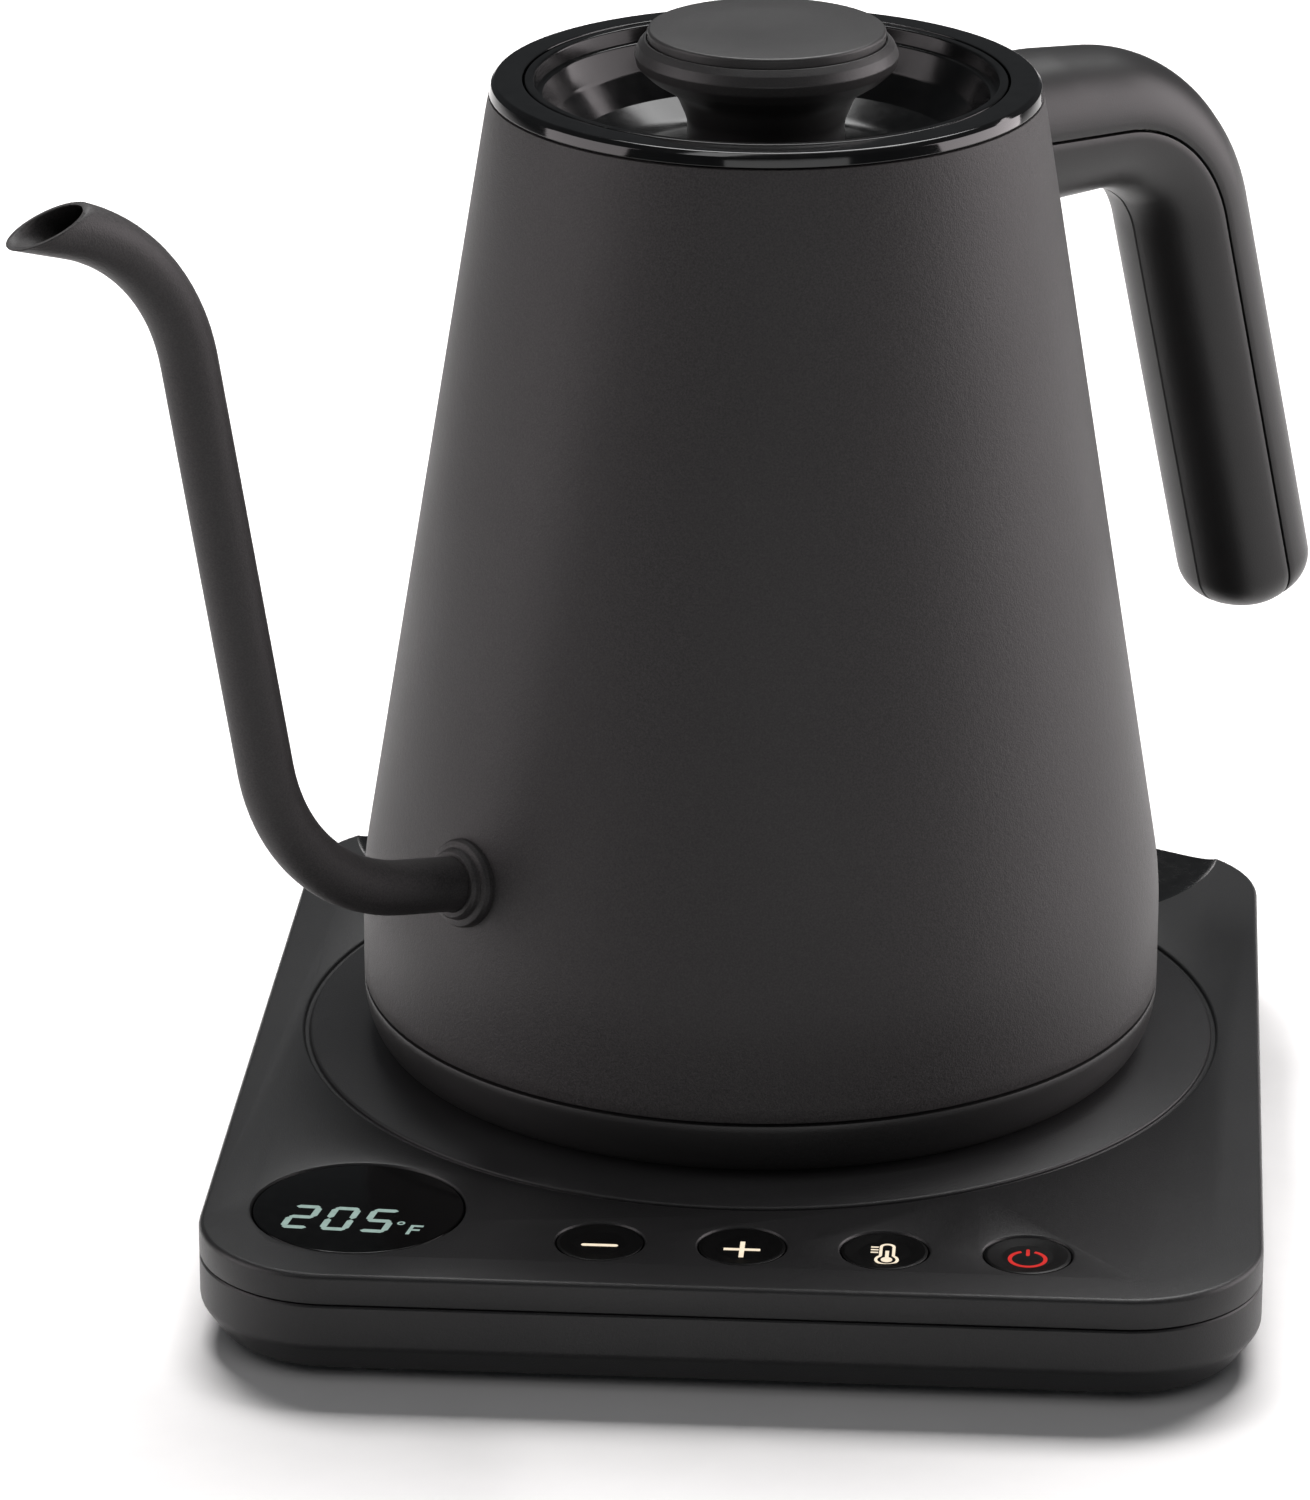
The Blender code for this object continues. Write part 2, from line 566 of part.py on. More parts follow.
def make_kettle_connector():
    """The kettle's half of the connector: it sits over the base's post."""
    cavity_top = POST_TOP - BASE_TOP + 0.4 * MM
    ceiling = cavity_top + 2 * MM
    cavity = POST_RADIUS + 0.5 * MM
    profile = [(0, ceiling), (cavity + 1.6 * MM, ceiling), (cavity + 1.6 * MM, 1.0 * MM),
               (cavity + 0.4 * MM, 0.5 * MM), (cavity, 1.0 * MM), (cavity, cavity_top), (0, cavity_top)]
    turned("kettle_connector", profile, SATIN_PLASTIC, KETTLE, steps=MEDIUM_STEPS, closed=False)
    low = 22.2 * MM - BASE_TOP
    disc("contact_pin", 1.5 * MM, low, cavity_top - GAP, COPPER, KETTLE, steps=SMALL_STEPS)
    ring("contact_blade", 8.4 * MM, 9.2 * MM, low, cavity_top - GAP, COPPER, KETTLE, steps=MEDIUM_STEPS)


# ---------------------------------------------------------------- kettle body

def body_side(offset, top, bottom):
    """Outer side of the vessel from top to bottom, offset inwards."""
    points = [(cone_radius(top) - offset, top)]
    for z in (115 * MM, 70 * MM, BLEND_TOP):
        points.append((cone_radius(z) - offset, z))
    for share in (0.25, 0.5, 0.75, 1.0):
        z = BLEND_TOP + (WALL_TOP - BLEND_TOP) * share
        drop = (1 - share) ** 2 * (WALL_RADIUS - cone_radius(BLEND_TOP))
        points.append((WALL_RADIUS - drop - offset, z))
    points.append((WALL_RADIUS - offset, bottom))
    return points


def make_body():
    outer = body_side(0, BODY_TOP, BODY_BOTTOM)
    inner = body_side(BODY_WALL, BODY_TOP, BODY_BOTTOM)
    shell = turned("body_shell", outer + inner[::-1], COATED_STEEL, KETTLE)
    root = [(-(SPOUT_ROOT[0] + reach * math.cos(SPOUT_ROOT_RISE)), 0,
             SPOUT_ROOT[1] + reach * math.sin(SPOUT_ROOT_RISE)) for reach in (-12 * MM, 16 * MM)]
    boolean(shell, rod("spout_hole", root, SPOUT_OUTER + 0.35 * MM, None, KETTLE))
    rim = [(MOUTH_RADIUS + 0.5 * MM, RIM_TOP), (45.4 * MM, RIM_TOP), (46.0 * MM, RIM_TOP - 0.6 * MM),
           (46.2 * MM, BODY_TOP + GAP), (44.9 * MM, BODY_TOP + GAP), (44.9 * MM, 167.4 * MM),
           (45.2 * MM, 163 * MM), (42.4 * MM, 160.5 * MM), (42.4 * MM, 156 * MM),
           (MOUTH_RADIUS + 0.2 * MM, 156 * MM), (MOUTH_RADIUS, 156.5 * MM),
           (MOUTH_RADIUS, RIM_TOP - 0.5 * MM)]
    turned("rim_collar", rim, GLOSS_PLASTIC, KETTLE)


def spoke(radius, degrees):
    angle = math.radians(degrees)
    return (radius * math.cos(angle), radius * math.sin(angle), 0)


COVER_SCREW_ANGLES = (30, 150, 270)
SENSOR_PLACE = spoke(27 * MM, 75)
CUTOUT_PLACE = spoke(27 * MM, 255)


def make_floor():
    radius = WALL_RADIUS - BODY_WALL - GAP
    profile = [(0, FLOOR_Z), (radius, FLOOR_Z), (radius, BODY_BOTTOM + 0.6 * MM),
               (radius - MM, BODY_BOTTOM + 0.6 * MM), (radius - MM, FLOOR_Z - MM), (0, FLOOR_Z - MM)]
    floor = turned("floor_plate", profile, STEEL, KETTLE, closed=False)
    for angle in COVER_SCREW_ANGLES:
        stud = ring("floor_stud_%d" % angle, 1.7 * MM, 3.0 * MM, 11.4 * MM, FLOOR_Z - 0.5 * MM,
                    None, KETTLE, spoke(61 * MM, angle), steps=SMALL_STEPS)
        boolean(floor, stud, "UNION")
    sensor_hole = disc("sensor_hole", 3.8 * MM, 5 * MM, 25 * MM, None, KETTLE, SENSOR_PLACE,
                       steps=SMALL_STEPS)
    boolean(floor, sensor_hole)
    heat = disc("heat_plate", 55 * MM, FLOOR_Z - MM - GAP - 3 * MM, FLOOR_Z - MM - GAP, ALUMINIUM,
                KETTLE, steps=LARGE_STEPS)
    boolean(heat, sensor_hole)
    heat_low = FLOOR_Z - MM - GAP - 3 * MM
    tube = 3.3 * MM
    arc = [(42 * MM * math.cos(a), 42 * MM * math.sin(a), heat_low - GAP - tube)
           for a in (math.radians(20 + 320 * i / 24) for i in range(25))]
    rod("heating_element", arc, tube, STEEL, KETTLE, bevel_resolution=2)
    sensor = [(0, 23 * MM), (2.2 * MM, 22.4 * MM), (3.4 * MM, 20 * MM), (3.4 * MM, heat_low - 4 * MM),
              (0, heat_low - 4 * MM)]
    turned("temperature_sensor", sensor, STEEL, KETTLE, SENSOR_PLACE, SMALL_STEPS, False)
    disc("thermal_cutout", 8 * MM, heat_low - GAP - 5 * MM, heat_low - GAP, MOULDED_WHITE, KETTLE,
         CUTOUT_PLACE, steps=MEDIUM_STEPS)


def make_bottom_cover():
    hole = POST_RADIUS + 2.6 * MM
    profile = [(WALL_RADIUS - 0.3 * MM, COVER_TOP), (WALL_RADIUS, COVER_TOP - 0.4 * MM),
               (WALL_RADIUS - 0.4 * MM, 7.2 * MM), (WALL_RADIUS - 1.5 * MM, 4.2 * MM),
               (WALL_RADIUS - 3.3 * MM, 1.7 * MM), (WALL_RADIUS - 5.4 * MM, GAP),
               (hole, GAP), (hole, 2.3 * MM), (WALL_RADIUS - 6.5 * MM, 2.3 * MM),
               (WALL_RADIUS - 4.2 * MM, 4.8 * MM), (WALL_RADIUS - 2.8 * MM, 8 * MM),
               (WALL_RADIUS - 2.6 * MM, COVER_TOP)]
    cover = turned("bottom_cover", profile, SATIN_PLASTIC, KETTLE)
    for angle in COVER_SCREW_ANGLES:
        place = spoke(61 * MM, angle)
        boss = disc("cover_boss_%d" % angle, 3.6 * MM, 1.5 * MM, 11.0 * MM, None, KETTLE, place,
                    steps=SMALL_STEPS)
        boolean(cover, boss, "UNION")
    for number, angle in enumerate(COVER_SCREW_ANGLES, 1):
        place = spoke(61 * MM, angle)
        hole_profile = [(0, 12 * MM), (1.8 * MM, 12 * MM), (1.8 * MM, 2.6 * MM), (2.9 * MM, 2.6 * MM),
                        (2.9 * MM, -1 * MM), (0, -1 * MM)]
        boolean(cover, turned("cover_hole_%d" % angle, hole_profile, None, KETTLE, place,
                              SMALL_STEPS, False))
        screw_solid("cover_screw_%d" % number, (place[0], place[1], 2.3 * MM), (0, 0, 1),
                    2.6 * MM, 1.3 * MM, 1.4 * MM, 12 * MM, KETTLE)


# ---------------------------------------------------------------- spout

def spout_path(step):
    moves = (("run", SPOUT_ROOT_RUN), ("bend", SPOUT_LOWER_BEND, SPOUT_RISE), ("run", SPOUT_RISER),
             ("bend", SPOUT_UPPER_BEND, SPOUT_TIP_RISE), ("run", SPOUT_TIP_RUN))
    return bent_path(SPOUT_ROOT, SPOUT_ROOT_RISE, moves, step)


def spout_points(path, extend=0.0):
    """Path points in the kettle's frame, carried on straight past both ends."""
    points = [(-along, 0, up) for along, up, _ in path]
    if extend:
        first, last = path[0], path[-1]
        points.insert(0, (-(first[0] - extend * math.cos(first[2])), 0,
                          first[1] - extend * math.sin(first[2])))
        points.append((-(last[0] + extend * math.cos(last[2])), 0,
                       last[1] + extend * math.sin(last[2])))
    return points


def make_spout():
    path = spout_path(5.5 * MM)
    tube = rod("spout_tube", spout_points(path), SPOUT_OUTER, COATED_STEEL, KETTLE)
    size = 30 * MM
    tip_cut = block("spout_tip_cut", (-size, -size, 0), (size, size, size), None, KETTLE)
    tip_cut.location = (-SPOUT_CUT_POINT[0], 0, SPOUT_CUT_POINT[1])
    tip_cut.rotation_euler = (0, SPOUT_CUT_TILT, 0)
    boolean(tube, tip_cut)
    boolean(tube, rod("spout_bore", spout_points(path, 3 * MM), SPOUT_BORE, None, KETTLE))
    wall_at = cone_radius(SPOUT_ROOT[1])
    reach = (wall_at - SPOUT_ROOT[0]) / math.cos(SPOUT_ROOT_RISE)
    centre = (-(SPOUT_ROOT[0] + reach * math.cos(SPOUT_ROOT_RISE)), 0,
              SPOUT_ROOT[1] + reach * math.sin(SPOUT_ROOT_RISE))
    bore = SPOUT_OUTER + SPOUT_RING_CLEARANCE
    profile = [(bore, 2.4 * MM), (6.0 * MM, 2.4 * MM), (6.2 * MM, 1.6 * MM), (7.0 * MM, 1.5 * MM),
               (7.3 * MM, 1.0 * MM), (7.3 * MM, GAP), (bore, GAP)]
    collar = turned("spout_collar", profile, COATED_STEEL, KETTLE, centre, steps=MEDIUM_STEPS)
    collar.rotation_euler = (0, math.atan(CONE_SLOPE) - math.radians(90), 0)


# ---------------------------------------------------------------- handle

END_SHARES = (0.5, 0.85, 1.0)       # stations along the handle's rounded end
END_STATIONS = len(END_SHARES)


def handle_path():
    moves = (("run", HANDLE_ARM_RUN), ("bend", HANDLE_BEND, HANDLE_FALL), ("run", HANDLE_GRIP_RUN))
    path = bent_path(HANDLE_START, HANDLE_DROP, moves, HANDLE_STEP)
    along, up, heading = path.pop()
    for share in (0.0, *END_SHARES):
        back = HANDLE_END_ROUND * (1 - share)
        path.append((along - back * math.cos(heading), up - back * math.sin(heading), heading))
    return path


def path_lengths(path):
    """Distance of each point of a path from its first point."""
    lengths = [0.0]
    for (a, b, _), (c, d, _) in zip(path, path[1:]):
        lengths.append(lengths[-1] + math.hypot(c - a, d - b))
    return lengths


def handle_sizes(path):
    """Half width and half thickness at each station of the handle."""
    lengths = path_lengths(path)
    round_start = lengths[-1] - HANDLE_END_ROUND
    sizes = []
    for length in lengths:
        root = max(0.0, 1 - length / HANDLE_ROOT_LENGTH)
        thick = HANDLE_HALF_THICK + (HANDLE_ROOT_THICK - HANDLE_HALF_THICK) * min(1.0, 1.6 * root)
        shrink = 0.0
        if length > round_start:
            share = (length - round_start) / HANDLE_END_ROUND
            shrink = HANDLE_END_ROUND * (1 - math.sqrt(max(0.0, 1 - share * share)))
        sizes.append((HANDLE_HALF_WIDTH - shrink, thick - shrink))
    return sizes


def half_ring(width, thick, wall, side, count=8):
    """Section of half a hollow grip: (across, out) points, side +1 or -1."""
    points = []
    for half, depth, turn in ((width, thick, 1), (width - HANDLE_WALL, thick - wall, -1)):
        for i in range(count + 1):
            angle = math.pi * (i if turn > 0 else count - i) / count
            rise = max(0.0, depth - GRIP_SEAM) * math.sin(angle) ** GRIP_POWER
            points.append((half * math.cos(angle), side * (GRIP_SEAM + rise)))
    return points


def section_at(station, outline):
    """Places an (across, out) outline square to the handle's path."""
    along, up, heading = station
    out_along, out_up = -math.sin(heading), math.cos(heading)
    return [Vector((along + out * out_along, across, up + out * out_up)) for across, out in outline]


def make_handle_half(name, side, cone_cutter):
    path = handle_path()
    sections = []
    for index, (station, (width, thick)) in enumerate(zip(path, handle_sizes(path))):
        in_round_end = index >= len(path) - END_STATIONS
        wall = thick if in_round_end else HANDLE_WALL
        sections.append(section_at(station, half_ring(width, thick, wall, side)))
    half = loft(name, sections, SATIN_PLASTIC, KETTLE)
    boolean(half, cone_cutter)
    return half


def station_at(path, length):
    """The point and heading at a distance along a path."""
    lengths = path_lengths(path)
    for (low, high), (first, second) in zip(zip(lengths, lengths[1:]), zip(path, path[1:])):
        if low <= length <= high:
            share = (length - low) / (high - low)
            return tuple(a + (b - a) * share for a, b in zip(first, second))
    return path[-1]


def make_handle():
    sides = [(cone_radius(z) + GAP, z) for z in (190 * MM, 100 * MM)]
    cone_cutter = turned("handle_root_cut", [(0, 190 * MM)] + sides + [(0, 100 * MM)], None, KETTLE,
                         closed=False)
    make_handle_half("handle_outer_cover", 1, cone_cutter)
    grip = make_handle_half("handle_inner_grip", -1, cone_cutter)
    path = handle_path()
    lengths = path_lengths(path)
    half_width, half_thick = 5 * MM, 1.3 * MM
    bar = [(-half_width, -half_thick), (half_width, -half_thick),
           (half_width, half_thick), (-half_width, half_thick)]
    stations = [s for s, length in zip(path, lengths) if length < HANDLE_BRACKET_END - MM]
    stations.append(station_at(path, HANDLE_BRACKET_END))
    bracket = loft("handle_bracket", [section_at(s, bar) for s in stations], STEEL, KETTLE)
    boolean(bracket, cone_cutter)
    for index, length in enumerate(HANDLE_SCREW_STATIONS):
        along, up, heading = station_at(path, length)
        out = Vector((-math.sin(heading), 0, math.cos(heading)))
        centre = Vector((along, 0, up))
        head = centre - out * (HANDLE_HALF_THICK - HANDLE_SCREW_SINK)
        screw_solid("handle_screw_%d" % (index + 1), head, out, 2.6 * MM, 1.2 * MM,
                    1.4 * MM, HANDLE_HALF_THICK + 1.2 * MM, KETTLE)
        hole = rod("screw_hole_%d" % index, [centre - out * 12 * MM, centre + out * 4 * MM], 1.8 * MM,
                   None, KETTLE, bevel_resolution=2)
        sink = rod("screw_sink_%d" % index, [centre - out * 20 * MM, head + out * 0.3 * MM], 3.0 * MM,
                   None, KETTLE, bevel_resolution=2)
        boolean(bracket, hole)
        boolean(grip, hole)
        boolean(grip, sink)


# ---------------------------------------------------------------- lid

def make_lid():
    flange = MOUTH_RADIUS - 0.35 * MM
    screw_hole = 1.9 * MM
    dish = [(flange - 0.4 * MM, RIM_TOP), (flange, RIM_TOP - 0.4 * MM), (flange, 168.7 * MM),
            (37.4 * MM, 168.5 * MM), (35.6 * MM, 164 * MM), (31.6 * MM, 158.9 * MM),
            (25.4 * MM, 155.0 * MM), (16 * MM, LID_FLOOR - 1.8 * MM),
            (screw_hole, LID_FLOOR - 1.8 * MM), (screw_hole, LID_FLOOR), (16 * MM, LID_FLOOR),
            (26.4 * MM, 156.7 * MM), (33 * MM, 160.4 * MM), (37.0 * MM, 165 * MM), (39.2 * MM, RIM_TOP)]
    turned("lid_dish", dish, GLOSS_PLASTIC, KETTLE)
    liner_radius = 38.9 * MM
    liner = [(liner_radius, 168.3 * MM), (liner_radius, 151.4 * MM), (liner_radius - 1.2 * MM, 150.2 * MM),
             (screw_hole, 150.2 * MM), (screw_hole, 151 * MM), (37.4 * MM, 151 * MM),
             (liner_radius - 0.8 * MM, 151.7 * MM), (liner_radius - 0.8 * MM, 168.3 * MM)]
    turned("lid_liner", liner, STEEL, KETTLE)
    seal = liner_radius + GAP
    gasket = [(seal, 163.5 * MM), (40.4 * MM, 163.2 * MM), (40.4 * MM, 162.2 * MM), (39.8 * MM, 161.6 * MM),
              (39.8 * MM, 160.4 * MM), (40.4 * MM, 159.8 * MM), (40.4 * MM, 158.8 * MM), (seal, 158.5 * MM)]
    turned("lid_gasket", gasket, SILICONE, KETTLE)
    stem = 13.2 * MM
    foot = LID_FLOOR + GAP
    cap_seat = KNOB_TOP - 2.6 * MM
    knob = [(screw_hole, cap_seat), (KNOB_CAP_RADIUS + 0.2 * MM, cap_seat),
            (KNOB_CAP_RADIUS + 0.4 * MM, cap_seat + 0.9 * MM), (KNOB_RADIUS - 0.4 * MM, cap_seat - 0.4 * MM),
            (KNOB_RADIUS, cap_seat - 1.4 * MM), (KNOB_RADIUS, cap_seat - 2.4 * MM),
            (KNOB_RADIUS - 1.6 * MM, cap_seat - 4.4 * MM), (17.2 * MM, cap_seat - 6.4 * MM),
            (14.4 * MM, cap_seat - 9 * MM), (stem, cap_seat - 12 * MM), (stem, foot + 0.8 * MM),
            (stem + 0.8 * MM, foot), (screw_hole, foot)]
    turned("knob_body", knob, SATIN_PLASTIC, KETTLE, steps=MEDIUM_STEPS)
    cap = [(0, KNOB_TOP), (KNOB_CAP_RADIUS - 0.6 * MM, KNOB_TOP),
           (KNOB_CAP_RADIUS - 0.1 * MM, KNOB_TOP - 0.6 * MM), (KNOB_CAP_RADIUS - 0.1 * MM, cap_seat + GAP),
           (0, cap_seat + GAP)]
    turned("knob_cap", cap, SATIN_PLASTIC, KETTLE, steps=MEDIUM_STEPS, closed=False)
    screw_solid("knob_screw", (0, 0, 149.9 * MM), (0, 0, 1), 4 * MM, 1.6 * MM, 1.5 * MM, 24 * MM, KETTLE)


make_base_top_shell()
make_base_bottom_shell()
make_feet_and_screws()
make_controls()
make_power_parts()
make_cord_gland()
make_base_connector()
make_kettle_connector()
make_body()
make_floor()
make_bottom_cover()
make_spout()
make_handle()
make_lid()
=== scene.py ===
"""Looks of the electric gooseneck kettle on its heating base.

Shapes are worked out in millimetres, either in the base's frame (origin on the
table under the kettle's axis) or in the kettle's frame (origin on the axis at
the base's top, handle towards +X, spout towards -X), and then put in the
shared frame in metres.
"""
import json
from math import asin, atan, atan2, cos, degrees, hypot, pi, radians, sin, sqrt, tan, tau

import bmesh
import bpy
from mathutils import Matrix, Vector


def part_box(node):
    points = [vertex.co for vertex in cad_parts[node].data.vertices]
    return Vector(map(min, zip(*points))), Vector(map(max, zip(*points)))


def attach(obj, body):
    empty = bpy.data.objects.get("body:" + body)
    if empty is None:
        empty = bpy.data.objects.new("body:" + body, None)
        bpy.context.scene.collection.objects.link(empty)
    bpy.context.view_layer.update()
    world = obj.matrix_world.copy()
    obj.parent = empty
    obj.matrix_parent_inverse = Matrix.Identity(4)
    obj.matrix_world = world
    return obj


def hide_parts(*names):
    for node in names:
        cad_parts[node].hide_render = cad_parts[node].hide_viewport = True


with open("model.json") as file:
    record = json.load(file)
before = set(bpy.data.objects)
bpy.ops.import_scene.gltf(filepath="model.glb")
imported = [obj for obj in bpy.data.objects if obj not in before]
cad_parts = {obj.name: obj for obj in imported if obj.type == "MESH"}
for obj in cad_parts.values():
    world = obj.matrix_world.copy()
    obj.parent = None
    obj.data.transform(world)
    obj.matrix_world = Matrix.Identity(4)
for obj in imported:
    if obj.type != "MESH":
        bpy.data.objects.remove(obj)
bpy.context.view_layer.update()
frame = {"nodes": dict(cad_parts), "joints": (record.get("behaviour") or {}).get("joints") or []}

MM = 0.001
BASE_BODY = "base"
KETTLE_BODY = "kettle"
LID_BODY = "lid"
CONNECTOR_BODY = "connector"

# ---- facets ----
ROUND_STEPS = 144
SMALL_STEPS = 48
CORNER_STEPS = 18
TUBE_STEPS = 48
SHARP_ANGLE = 32

# ---- the two frames ----
AXIS = Vector(next(j["pos_m"] for j in frame["joints"] if j["name"] == "kettle_swivel"))
BRACKET_LOW, BRACKET_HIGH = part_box("handle_bracket")
BRACKET_MIDDLE = (BRACKET_LOW + BRACKET_HIGH) / 2 - AXIS
KETTLE_TURN = atan2(BRACKET_MIDDLE.y, BRACKET_MIDDLE.x)
TO_METRES = Matrix.Scale(MM, 4)
KETTLE = Matrix.Translation(AXIS) @ Matrix.Rotation(KETTLE_TURN, 4, "Z") @ TO_METRES
BASE = Matrix.Translation((AXIS.x, AXIS.y, 0)) @ TO_METRES

# ---- base, in mm ----
BASE_LOW, BASE_HIGH = ((corner - Vector((AXIS.x, AXIS.y, 0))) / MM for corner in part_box("base_top_shell"))
BASE_TOP = BASE_HIGH.z
BASE_CORNER = 23.0
BASE_SPLIT = 15.0
SHELL_WALL = 2.4
TOP_EDGE_ROUND = 1.0
GROOVE_RADIUS = 79.4
GROOVE_HALF = 0.5
GROOVE_DEPTH = 0.8
SCALLOP_CENTRE = (42.7, 86.8)
SCALLOP_RADIUS = 37.8
SCALLOP_DEPTH = 1.4
SCALLOP_WIDTH = 18.0
PLATE_KEEPOUT = 82.0
DISPLAY_RADIUS = 17.5
BUTTONS = ("button_minus", "button_plus", "button_preset", "button_power")
BUTTON_RADIUS = 7.1
BUTTON_DISH = 0.33
POST_RADIUS = 16.3
POST_TOP = 29.0
FEET = ("foot_front_left", "foot_front_right", "foot_rear_left", "foot_rear_right")
FOOT_RADIUS = 5.5

# ---- kettle, in mm above the base's top ----
CONE_RADIUS_AT_0 = 74.1
CONE_SLOPE = 0.1637
WALL_RADIUS = 69.2
WALL_TOP = 24.0
BLEND_TOP = 36.0
BODY_BOTTOM = 10.6
BODY_TOP = 168.4
BODY_WALL = 1.0
COVER_TOP = 10.2
MOUTH_RADIUS = 40.8
RIM_TOP = 171.0
LID_FLOOR = 155.1
KNOB_TOP = 179.6
KNOB_RADIUS = 22.1
KNOB_CAP_RADIUS = 20.0
KNOB_STEM = 13.2

# ---- spout ----
SPOUT_OUTER = 4.65
SPOUT_BORE = 3.85
SPOUT_ROOT = (62.0, 42.6)
SPOUT_ROOT_RISE = radians(11.5)
SPOUT_MOVES = (("run", 19.0), ("bend", 35.3, radians(79.4)), ("run", 73.5),
               ("bend", 34.3, radians(18.5)), ("run", 24.0))
SPOUT_CUT_POINT = (149.4, 174.1)
SPOUT_CUT_TILT = radians(18.2)

# ---- handle ----
HANDLE_START = (42.0, 152.6)
HANDLE_DROP = radians(-4)
HANDLE_MOVES = (("run", 32.0), ("bend", 27.5, radians(-74.9)), ("run", 80.0))
HANDLE_HALF_WIDTH = 12.0
HANDLE_HALF_THICK = 11.4
HANDLE_ROOT_THICK = 13.4
HANDLE_ROOT_LENGTH = 54.0
HANDLE_WALL = 2.4
HANDLE_END_ROUND = 7.5
HANDLE_SCREW_STATIONS = (17.0, 30.0)
HANDLE_SCREW_SINK = 1.6
SEAM_HALF = 0.22
SEAM_ROUND = 0.45


# ---- mesh helpers ----

def rounded(corners, steps=6, closed=True):
    """A line through (x, y, radius) corners, each rounded by its radius."""
    line = []
    count = len(corners)
    for index, (x, y, radius) in enumerate(corners):
        here = Vector((x, y))
        before = Vector(corners[index - 1][:2]) - here
        after = Vector(corners[(index + 1) % count][:2]) - here
        at_end = not closed and index in (0, count - 1)
        if radius == 0 or at_end:
            line.append((x, y))
            continue
        half = before.angle(after) / 2
        reach = min(radius / tan(half), 0.49 * before.length, 0.49 * after.length)
        radius = reach * tan(half)
        toward = (before.normalized() + after.normalized()).normalized()
        centre = here + toward * (radius / sin(half))
        start = here + before.normalized() * reach - centre
        end = here + after.normalized() * reach - centre
        first = atan2(start.y, start.x)
        sweep = (atan2(end.y, end.x) - first + pi) % tau - pi
        for step in range(steps + 1):
            angle = first + sweep * step / steps
            line.append((centre.x + radius * cos(angle), centre.y + radius * sin(angle)))
    return line


def bridge(bm, row, following):
    """Faces between two closed rows of points; a row may be one point."""
    count = max(len(row), len(following))
    for i in range(count):
        j = (i + 1) % count
        corners = [row[i % len(row)], row[j % len(row)],
                   following[j % len(following)], following[i % len(following)]]
        unique = list(dict.fromkeys(corners))
        if len(unique) > 2:
            bm.faces.new(unique)


def shade(mesh):
    mesh.shade_smooth()
    mesh.set_sharp_from_angle(angle=radians(SHARP_ANGLE))


def new_piece(name, bm, place):
    """Makes an object of a bmesh, with its points put in the shared frame."""
    bmesh.ops.recalc_face_normals(bm, faces=bm.faces)
    mesh = bpy.data.meshes.new(name)
    bm.to_mesh(mesh)
    bm.free()
    mesh.transform(place)
    shade(mesh)
    obj = bpy.data.objects.new(name, mesh)
    bpy.context.scene.collection.objects.link(obj)
    return obj


def turned(name, profile, steps=ROUND_STEPS, closed=True, place=KETTLE):
    """Turns a profile of (radius, z) points about the Z axis."""
    bm = bmesh.new()
    rows = []
    for radius, z in profile:
        if radius < 1e-6:
            rows.append([bm.verts.new((0, 0, z))])
            continue
        angles = [tau * i / steps for i in range(steps)]
        rows.append([bm.verts.new((radius * cos(a), radius * sin(a), z)) for a in angles])
    following = rows[1:] + (rows[:1] if closed else [])
    for row, after in zip(rows, following):
        bridge(bm, row, after)
    return new_piece(name, bm, place)


def lofted(name, sections, place=KETTLE, ring=False):
    """Joins sections of equal point counts; a ring joins the last to the first."""
    bm = bmesh.new()
    rows = [[bm.verts.new(point) for point in section] for section in sections]
    for row, following in zip(rows, rows[1:] + rows[:1] * ring):
        bridge(bm, row, following)
    if not ring:
        bm.faces.new(rows[0])
        bm.faces.new(rows[-1])
    return new_piece(name, bm, place)


def cut(obj, *cutters, operation="DIFFERENCE"):
    """Cuts an object by others, or joins them to it, and removes them."""
    for cutter in cutters:
        modifier = obj.modifiers.new("cut", "BOOLEAN")
        modifier.operation = operation
        modifier.solver = "EXACT"
        modifier.object = cutter
        bpy.context.view_layer.update()
        evaluated = obj.evaluated_get(bpy.context.evaluated_depsgraph_get())
        mesh = bpy.data.meshes.new_from_object(evaluated)
        obj.modifiers.clear()
        obj.data = mesh
        bpy.data.objects.remove(cutter, do_unlink=True)
    shade(obj.data)
    return obj


def cylinder(name, radius, low, high, place=BASE, steps=SMALL_STEPS, edge=0.0):
    """A round bar between two heights; edge flares its top outward."""
    profile = [(0, high), (radius + edge, high)]
    if edge:
        top = min(high, BASE_TOP)
        profile += [(radius + edge, top + 0.01), (radius + 0.45 * edge, top - 0.12 * edge),
                    (radius + 0.1 * edge, top - 0.5 * edge), (radius, top - edge)]
    profile += [(radius, low), (0, low)]
    return turned(name, profile, steps, False, place)


def box_piece(name, low, high, place=BASE):
    bm = bmesh.new()
    low, high = Vector(low), Vector(high)
    middle = Matrix.Translation((low + high) / 2)
    bmesh.ops.create_cube(bm, size=1, matrix=middle @ Matrix.Diagonal((*(high - low), 1)))
    return new_piece(name, bm, place)


def dress(obj, body, slot, materials, *nodes):
    """Gives a piece its materials and its body, and hides the nodes it stands for; slot is not used."""
    obj.data.materials.clear()
    for mat in materials:
        obj.data.materials.append(mat)
    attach(obj, body)
    if nodes:
        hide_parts(*nodes)
    return obj


def facing_in(obj, middle, index):
    """Gives another material to the faces that look towards an upright axis."""
    for polygon in obj.data.polygons:
        out = Vector((polygon.center.x - middle.x, polygon.center.y - middle.y, 0))
        if polygon.normal.dot(out) < -0.2 * out.length:
            polygon.material_index = index


def place_on(node, height=0):
    """The frame of a piece: on the table or at a height, on the middle of a node."""
    low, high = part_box(node)
    return Matrix.Translation(((low.x + high.x) / 2, (low.y + high.y) / 2, height)) @ TO_METRES


